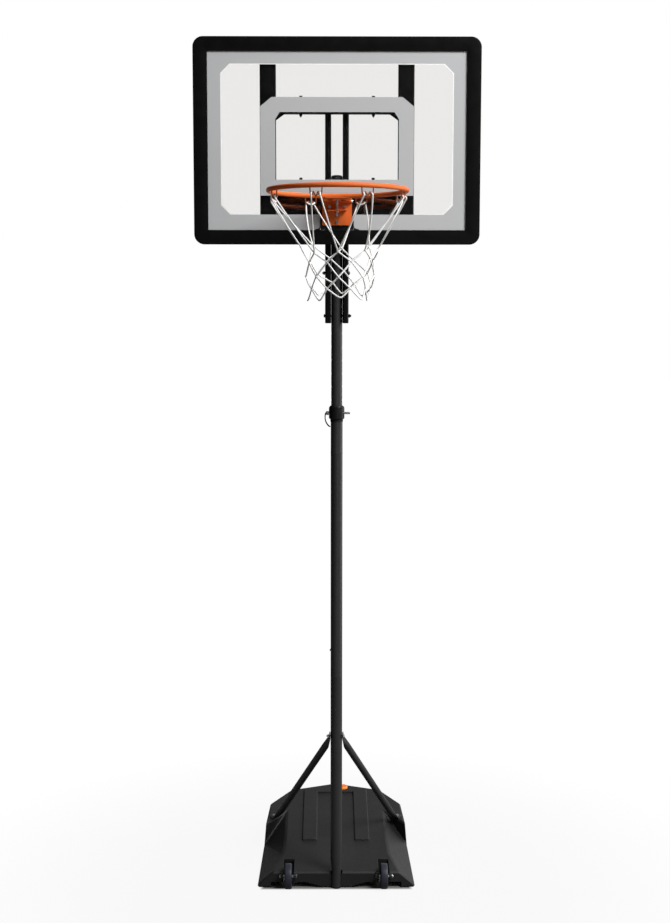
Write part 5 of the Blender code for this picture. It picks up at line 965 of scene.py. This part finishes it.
def band(radius, low, high, wall, soft):
    """A thin band round the pole: a rectangle of wall by height whose corners are cut by a soft length."""
    inner = radius - wall
    return turned([(inner, low), (radius - soft, low), (radius, low + soft), (radius, high - soft),
                   (radius - soft, high), (inner, high)], (0.0, 0.0, 0.0), (0.0, 0.0, 1.0))


# Name, mm out from the pole, lowest and highest z, wall and corner cut in mm, finish and slot
BANDS = (
    ("collar_foot_band", 1.3, collar_low - 6.5 * MM, collar_low - 0.1 * MM, 1.2, 0.3, gasket_rubber,
     "plastic"),
    ("pole_rolled_lip", 0.7, collar_low - 9.0 * MM, collar_low - 7.0 * MM, 0.6, 0.5, pole_coat, "pole"),
    ("pole_rolled_bead", 0.5, 1.3740, 1.3762, 0.45, 0.4, pole_coat, "pole"),
)
for name, proud, low, high, wall, cut, finish, slot in BANDS:
    new_piece(name, [band(POLE_RADIUS + proud * MM, low, high, wall * MM, cut * MM)], "base", finish)

# %% [markdown]
# The board's edge trim shows most of all, and its corners need a finer arc than the solid has. Its
# section is carried round the board: for each point of the section, how far it is inside the edge gives
# the size of a rounded rectangle, and how far back it is gives y. Joined in order, these make the trim.

# %% The board's edge trim
trim_low, trim_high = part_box("board_trim")
BOARD_CENTRE = np.array([0.0, (trim_low.z + trim_high.z) / 2])
BOARD_HALF = np.array([trim_high.x, (trim_high.z - trim_low.z) / 2])
BOARD_CORNER = 30.0 * MM
LEAST_CORNER = 2.0 * MM
TRIM_WIDTH = 42.0 * MM
TRIM_GROOVE = 30.0 * MM


def board_loop(inset, corner, y, steps=14):
    """A rounded rectangle: each corner is an arc about a centre that lies its radius inside both edges."""
    turn = np.linspace(0, math.pi / 2, steps + 1)
    half = BOARD_HALF - inset - corner
    points = []
    for quarter, (sx, sz) in enumerate(((1, 1), (-1, 1), (-1, -1), (1, -1))):
        angle = turn + quarter * math.pi / 2
        points.append(np.stack([sx * half[0] + corner * np.cos(angle),
                                sz * half[1] + corner * np.sin(angle)], axis=1))
    points = np.concatenate(points) + BOARD_CENTRE
    return np.column_stack([points[:, 0], np.full(len(points), y), points[:, 1]])


def arc(centre, radius, start, stop, steps):
    """Points (inset, y) on an arc of a section."""
    angle = np.radians(np.linspace(start, stop, steps))
    return [(centre[0] + radius * math.cos(a), centre[1] + radius * math.sin(a)) for a in angle]


def trim_section():
    """The section as (inset from the edge, y): a rounded outer edge, a lip, a groove and a rear lip."""
    front, rear = trim_low.y, trim_high.y
    edge, lip, thick = 2.5 * MM, 1.0 * MM, 4.0 * MM
    groove = TRIM_WIDTH - TRIM_GROOVE
    section = arc((edge, front + edge), edge, 180, 270, 6)
    section += arc((TRIM_WIDTH - lip, front + lip), lip, 270, 360, 4)
    section += [(TRIM_WIDTH, front + thick), (groove, front + thick),
                (groove, rear - thick), (TRIM_WIDTH, rear - thick)]
    section += arc((TRIM_WIDTH - lip, rear - lip), lip, 0, 90, 4)
    section += arc((edge, rear - edge), edge, 90, 180, 6)
    return section


section = trim_section()
loops = [board_loop(inset, max(BOARD_CORNER - inset, LEAST_CORNER), y) for inset, y in section]
trim_faces, trim_corners = grid_faces(len(loops), len(loops[0]), closed_rows=True)
trim = new_piece("board_edge_trim", [(np.concatenate(loops), trim_faces, [], trim_corners)],
                 "mast", trim_plastic, sharp=30.0)
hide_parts("board_trim")

# %% [markdown]
# The print is a border, a target box and a thin white keyline. Ink has no thickness to speak of, but a
# closed plate of a tenth of a millimetre is a proper solid that reads from both sides. Each outline is
# a short list of corners in millimetres from the board's centre line and the floor. The keyline follows
# the window's edge: it laps a little over the border, and most of it lies inside the window.

# %% The print on the board
PANEL_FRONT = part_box("board_panel")[0].y
INK = 0.12 * MM
# In millimetres: the border's notch and edges, the window, the keyline and the target's two outlines
NOTCH_HALF = 49.5
BORDER_LOW, BORDER_HIGH, BORDER_REACH = 2037.5, 2556.0, 381.0
WINDOW_HALF, WINDOW_LOW, WINDOW_HIGH, WINDOW_CUT = 340.0, 2085.0, 2517.5, 27.0
LINE_OVER, LINE_INSIDE, LINE_INNER_CUT, LINE_OPEN_HALF = 0.2, 1.8, 26.2, 226.0
TARGET_OUTSIDE = (224.5, 2140.0, 2423.0, 33.0, 27.0, 0.0)
TARGET_INSIDE = (180.5, 2186.0, 2380.0, 13.0, 20.0, 0.0)


def flat_plate(outline, front, back):
    """A closed outline of (x, z) points extruded along y, with a many-sided face at each end."""
    outline = np.asarray(outline, float)
    points = np.concatenate([np.column_stack([outline[:, 0], np.full(len(outline), y), outline[:, 1]])
                             for y in (front, back)])
    faces, corners = grid_faces(2, len(outline))
    return points, faces, [np.arange(len(outline)), np.arange(len(outline)) + len(outline)], corners


def octagon(half, low, high, cut_x, cut_z, cut_low):
    """A box |x| < half, low < z < high with cut corners, from the bottom left up and round to the right."""
    left = [(-half + cut_x * cut_low, low), (-half, low + cut_z * cut_low),
            (-half, high - cut_z), (-half + cut_x, high)]
    return left + [(-x, z) for x, z in reversed(left)]


def border_outline():
    """The border as one outline: out round the board, and back round the window, open at the rim's pad."""
    corner = [(NOTCH_HALF + 10 * (1 - math.cos(a)), 2043.5 + 10 * (1 - math.sin(a)))
              for a in np.linspace(0, math.pi / 2, 6)]
    right = [(NOTCH_HALF, WINDOW_LOW)] + corner + [(NOTCH_HALF + 14, 2043.0), (NOTCH_HALF + 16, BORDER_LOW),
                                                   (BORDER_REACH, BORDER_LOW), (BORDER_REACH, BORDER_HIGH)]
    window = octagon(WINDOW_HALF, WINDOW_LOW, WINDOW_HIGH, WINDOW_CUT, WINDOW_CUT, 1.0)
    outer = right + [(-x, z) for x, z in reversed(right)]
    return np.array(outer + window) * MM


def keyline_outline():
    """A 2 mm line round the window as one outline, out along it and back inside it, open at its foot."""
    low, inner_low = WINDOW_LOW - LINE_OVER, WINDOW_LOW + LINE_INSIDE
    outer = octagon(WINDOW_HALF + LINE_OVER, low, WINDOW_HIGH + LINE_OVER, WINDOW_CUT, WINDOW_CUT, 1.0)
    inner = octagon(WINDOW_HALF - LINE_INSIDE, inner_low, WINDOW_HIGH - LINE_INSIDE,
                    LINE_INNER_CUT, LINE_INNER_CUT, 1.0)
    outer = [(-LINE_OPEN_HALF, low)] + outer + [(LINE_OPEN_HALF, low)]
    inner = [(LINE_OPEN_HALF, inner_low)] + inner[::-1] + [(-LINE_OPEN_HALF, inner_low)]
    return np.array(outer + inner) * MM


def frame_of(outer, inner, front, back):
    """A flat frame between two outlines: outer edge in front and behind, inner edge behind and in front."""
    loops = []
    for outline, y in ((outer, front), (outer, back), (inner, back), (inner, front)):
        outline = np.asarray(outline) * MM
        loops.append(np.column_stack([outline[:, 0], np.full(len(outline), y), outline[:, 1]]))
    faces, corners = grid_faces(4, len(outer), closed_rows=True)
    return np.concatenate(loops), faces, [], corners


ink_back = PANEL_FRONT - 0.04 * MM
ink_front = ink_back - INK
new_piece("board_print_border", [flat_plate(border_outline(), ink_front, ink_back)],
          "mast", grey_ink)

# %% [markdown]
# At the two rounded corners of the border's notch the clear board would shine white between the grey
# and the black trim. A black print lies behind the grey there and closes the gap. The target box is the
# ring between two outlines, and the keyline is printed last, over the edge of the grey.

# %% Underlay, target and keyline
UNDERLAY_INNER, UNDERLAY_OUTER, UNDERLAY_LOW, UNDERLAY_HIGH = NOTCH_HALF, 72, 2026, 2052
underlays = []
for left, right in ((-UNDERLAY_OUTER, -UNDERLAY_INNER), (UNDERLAY_INNER, UNDERLAY_OUTER)):
    box = np.array([(left, UNDERLAY_LOW), (right, UNDERLAY_LOW),
                    (right, UNDERLAY_HIGH), (left, UNDERLAY_HIGH)]) * MM
    underlays.append(flat_plate(box, ink_back, ink_back + 0.03 * MM))
new_piece("board_print_underlay", underlays, "mast", black_ink)
target = frame_of(octagon(*TARGET_OUTSIDE), octagon(*TARGET_INSIDE), ink_front, ink_back)
new_piece("board_print_target", [target], "mast", grey_ink)
keyline = flat_plate(keyline_outline(), ink_front - 0.02 * MM, ink_front + 0.05 * MM)
new_piece("board_print_keyline", [keyline], "mast", white_ink)

# %% [markdown]
# The studio is a wide pale floor and a white surround. The white that the camera sees comes from the
# colours of floor and surround, not from more light on the hoop, so black plastic stays black. Gloss
# mirrors the backdrop too, but the room in front and on the left is darker, which shapes the tubes. The
# floor's white fades a little near the base, where a soft shadow stays, and ends just inside the tank's
# outline, because no light gets under the tank.

# %% Floor and surround
FLOOR_HALF = 30.0
# The dark box under the tank: axis, middle and half size in metres
UNDER_TANK = (("X", 0.0, 0.24), ("Y", 0.14, 0.16))


def seen_directly(tree):
    """1 for a ray from the camera, also through the clear board, with no bounce before it; else 0."""
    ray = add(tree, "LightPath")
    either = add(tree, "Math", {0: ray.outputs["Is Camera Ray"], 1: ray.outputs["Is Transmission Ray"]},
                 operation="MAXIMUM")
    bounces = add(tree, "Math", {0: ray.outputs["Diffuse Depth"], 1: ray.outputs["Glossy Depth"]},
                  operation="ADD")
    none_yet = add(tree, "Math", {0: bounces.outputs["Value"], 1: 0.5}, operation="LESS_THAN")
    both = add(tree, "Math", {0: either.outputs["Value"], 1: none_yet.outputs["Value"]},
               operation="MULTIPLY")
    return both.outputs["Value"]


def studio_floor():
    """A matte floor, white to the camera: the share of the glow is 0.9 by the base and 0 under the tank."""
    mesh = bpy.data.meshes.new("studio_floor")
    corners = [(x * FLOOR_HALF, y * FLOOR_HALF, 0) for x, y in ((-1, -1), (1, -1), (1, 1), (-1, 1))]
    mesh.from_pydata(corners, [], [(0, 1, 2, 3)])
    material, tree, shader = start_finish("painted_floor_matte", "7C7C7A", {"Roughness": 0.9,
                                                                           "Specular IOR Level": 0.1})
    place = add(tree, "TexCoord").outputs["Object"]
    reach = add(tree, "VectorMath", {0: place}, operation="LENGTH")
    share_near = add(tree, "MapRange", {"Value": reach.outputs["Value"], "From Min": 0.5, "From Max": 1.8,
                                        "To Min": 0.90, "To Max": 1.0}, interpolation_type="SMOOTHSTEP")
    glow = add(tree, "Emission", {"Color": (1.0, 1.0, 1.0, 1.0), "Strength": 1.02})
    split = add(tree, "SeparateXYZ", {"Vector": place})
    reaches = []
    for axis, middle_at, half_size in UNDER_TANK:
        off = add(tree, "Math", {0: split.outputs[axis], 1: middle_at}, operation="SUBTRACT")
        size = add(tree, "Math", {0: off.outputs["Value"]}, operation="ABSOLUTE")
        reaches.append(add(tree, "Math", {0: size.outputs["Value"], 1: half_size}, operation="SUBTRACT"))
    outside = add(tree, "Math", {0: reaches[0].outputs["Value"], 1: reaches[1].outputs["Value"]},
                  operation="MAXIMUM")
    clear = add(tree, "MapRange", {"Value": outside.outputs["Value"], "From Min": -0.012, "From Max": 0.0})
    pale = add(tree, "Math", {0: share_near.outputs["Result"], 1: clear.outputs["Result"]},
               operation="MULTIPLY")
    share = add(tree, "Math", {0: seen_directly(tree), 1: pale.outputs["Value"]}, operation="MULTIPLY")
    mix = add(tree, "MixShader", {"Fac": share.outputs["Value"], 1: shader.outputs["BSDF"],
                                  2: glow.outputs["Emission"]})
    tree.links.new(mix.outputs["Shader"], tree.nodes["Material Output"].inputs["Surface"])
    mesh.materials.append(material)
    floor = bpy.data.objects.new("studio_floor", mesh)
    bpy.context.collection.objects.link(floor)
    return floor


def studio_surround():
    """White where the camera looks and gloss mirrors the backdrop; else a room, bright on the right."""
    world = bpy.data.worlds.new("studio_surround")
    world.use_nodes = True
    tree = world.node_tree
    direction = add(tree, "TexCoord").outputs["Generated"]
    split = add(tree, "SeparateXYZ", {"Vector": direction})
    right = add(tree, "MapRange", {"Value": split.outputs["X"], "From Min": -0.1, "From Max": 0.9,
                                   "To Min": 0.015, "To Max": 1.2})
    front = add(tree, "MapRange", {"Value": split.outputs["Y"], "From Min": -0.9, "From Max": 0.3,
                                   "To Min": 0.12, "To Max": 1.0})
    above = add(tree, "MapRange", {"Value": split.outputs["Z"], "From Min": 0.2, "From Max": 0.9,
                                   "To Min": 0.0, "To Max": 0.15})
    sides = add(tree, "Math", {0: right.outputs["Result"], 1: front.outputs["Result"]},
                operation="MULTIPLY")
    room = add(tree, "Math", {0: sides.outputs["Value"], 1: above.outputs["Result"]}, operation="ADD")
    ray = add(tree, "LightPath")
    behind = add(tree, "MapRange", {"Value": split.outputs["Y"], "From Min": 0.90, "From Max": 0.99})
    mirrored = add(tree, "Math", {0: ray.outputs["Is Glossy Ray"], 1: behind.outputs["Result"]},
                   operation="MULTIPLY")
    seen = add(tree, "Math", {0: seen_directly(tree), 1: mirrored.outputs["Value"]}, operation="MAXIMUM")
    strength = add(tree, "Mix", {"Factor": seen.outputs["Value"], "A": room.outputs["Value"], "B": 1.0},
                   data_type="FLOAT")
    shade = tree.nodes["Background"]
    shade.inputs["Color"].default_value = (1.0, 1.0, 1.0, 1.0)
    tree.links.new(strength.outputs["Result"], shade.inputs["Strength"])
    return world


studio_floor()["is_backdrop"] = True
bpy.context.scene.world = studio_surround()
print("floor and surround ready")

# %% [markdown]
# Two soft boxes and a strip light the hoop. The key stands high on the right in front: the pole's shadow
# on the deck gives its direction. A weak one low in front opens the shadows. A tall narrow strip on the
# right, a little behind, draws the bright line down the right edge of every tube.


# %% Lamps
def soft_box(name, place, aim, width, height, watts):
    """An area lamp of a width and height at a place, turned to face a point."""
    data = bpy.data.lights.new(name, "AREA")
    data.shape = "RECTANGLE"
    data.size, data.size_y = width, height
    data.energy = watts
    lamp = bpy.data.objects.new(name, data)
    lamp.location = place
    lamp.rotation_euler = (Vector(aim) - Vector(place)).to_track_quat("-Z", "Y").to_euler()
    bpy.context.collection.objects.link(lamp)
    return lamp


soft_box("key_soft_box", (3.13, -2.53, 5.15), (0.0, 0.0, 1.4), 2.2, 2.2, 400)
soft_box("fill_soft_box", (1.4, -6.0, 0.8), (0.0, 0.0, 1.4), 1.4, 1.4, 18)
soft_box("edge_strip", (3.3, 1.0, 1.3), (0.0, 0.0, 1.3), 0.5, 2.6, 40)

# %% [markdown]
# The camera stands where the photograph was taken from. Its place and turn were found by fitting the
# outlines of the board, ring, pole and base; its focal length is given in pixels of a 670 wide picture.

# %% Camera
FOCAL_PIXELS = 1391.2
PICTURE_WIDTH = 670
CAMERA_PLACE = (-0.0292, -4.2027, 1.8184)
YAW, PITCH, ROLL = math.radians(0.331), math.radians(6.383), math.radians(0.050)


def aimed_camera():
    """A camera whose axes are its right, up and backward directions, turned by yaw, pitch and roll."""
    forward = Vector((math.sin(YAW) * math.cos(PITCH), math.cos(YAW) * math.cos(PITCH), -math.sin(PITCH)))
    right = Vector((math.cos(YAW), -math.sin(YAW), 0.0))
    up = right.cross(forward)
    turned_right = right * math.cos(ROLL) + up * math.sin(ROLL)
    turned_up = up * math.cos(ROLL) - right * math.sin(ROLL)
    data = bpy.data.cameras.new("studio_camera")
    data.sensor_fit = "HORIZONTAL"
    data.sensor_width = 36.0
    data.lens = FOCAL_PIXELS / PICTURE_WIDTH * data.sensor_width
    camera = bpy.data.objects.new("studio_camera", data)
    place = Matrix((turned_right, turned_up, -forward)).transposed().to_4x4()
    place.translation = CAMERA_PLACE
    camera.matrix_world = place
    bpy.context.collection.objects.link(camera)
    return camera


bpy.context.scene.camera = aimed_camera()
bpy.context.scene.view_settings.view_transform = "Standard"
print("lens", round(bpy.context.scene.camera.data.lens, 1), "mm")

# %% Sizes and finish
low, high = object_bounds()
print("visual box", [round(v, 3) for v in low], [round(v, 3) for v in high])
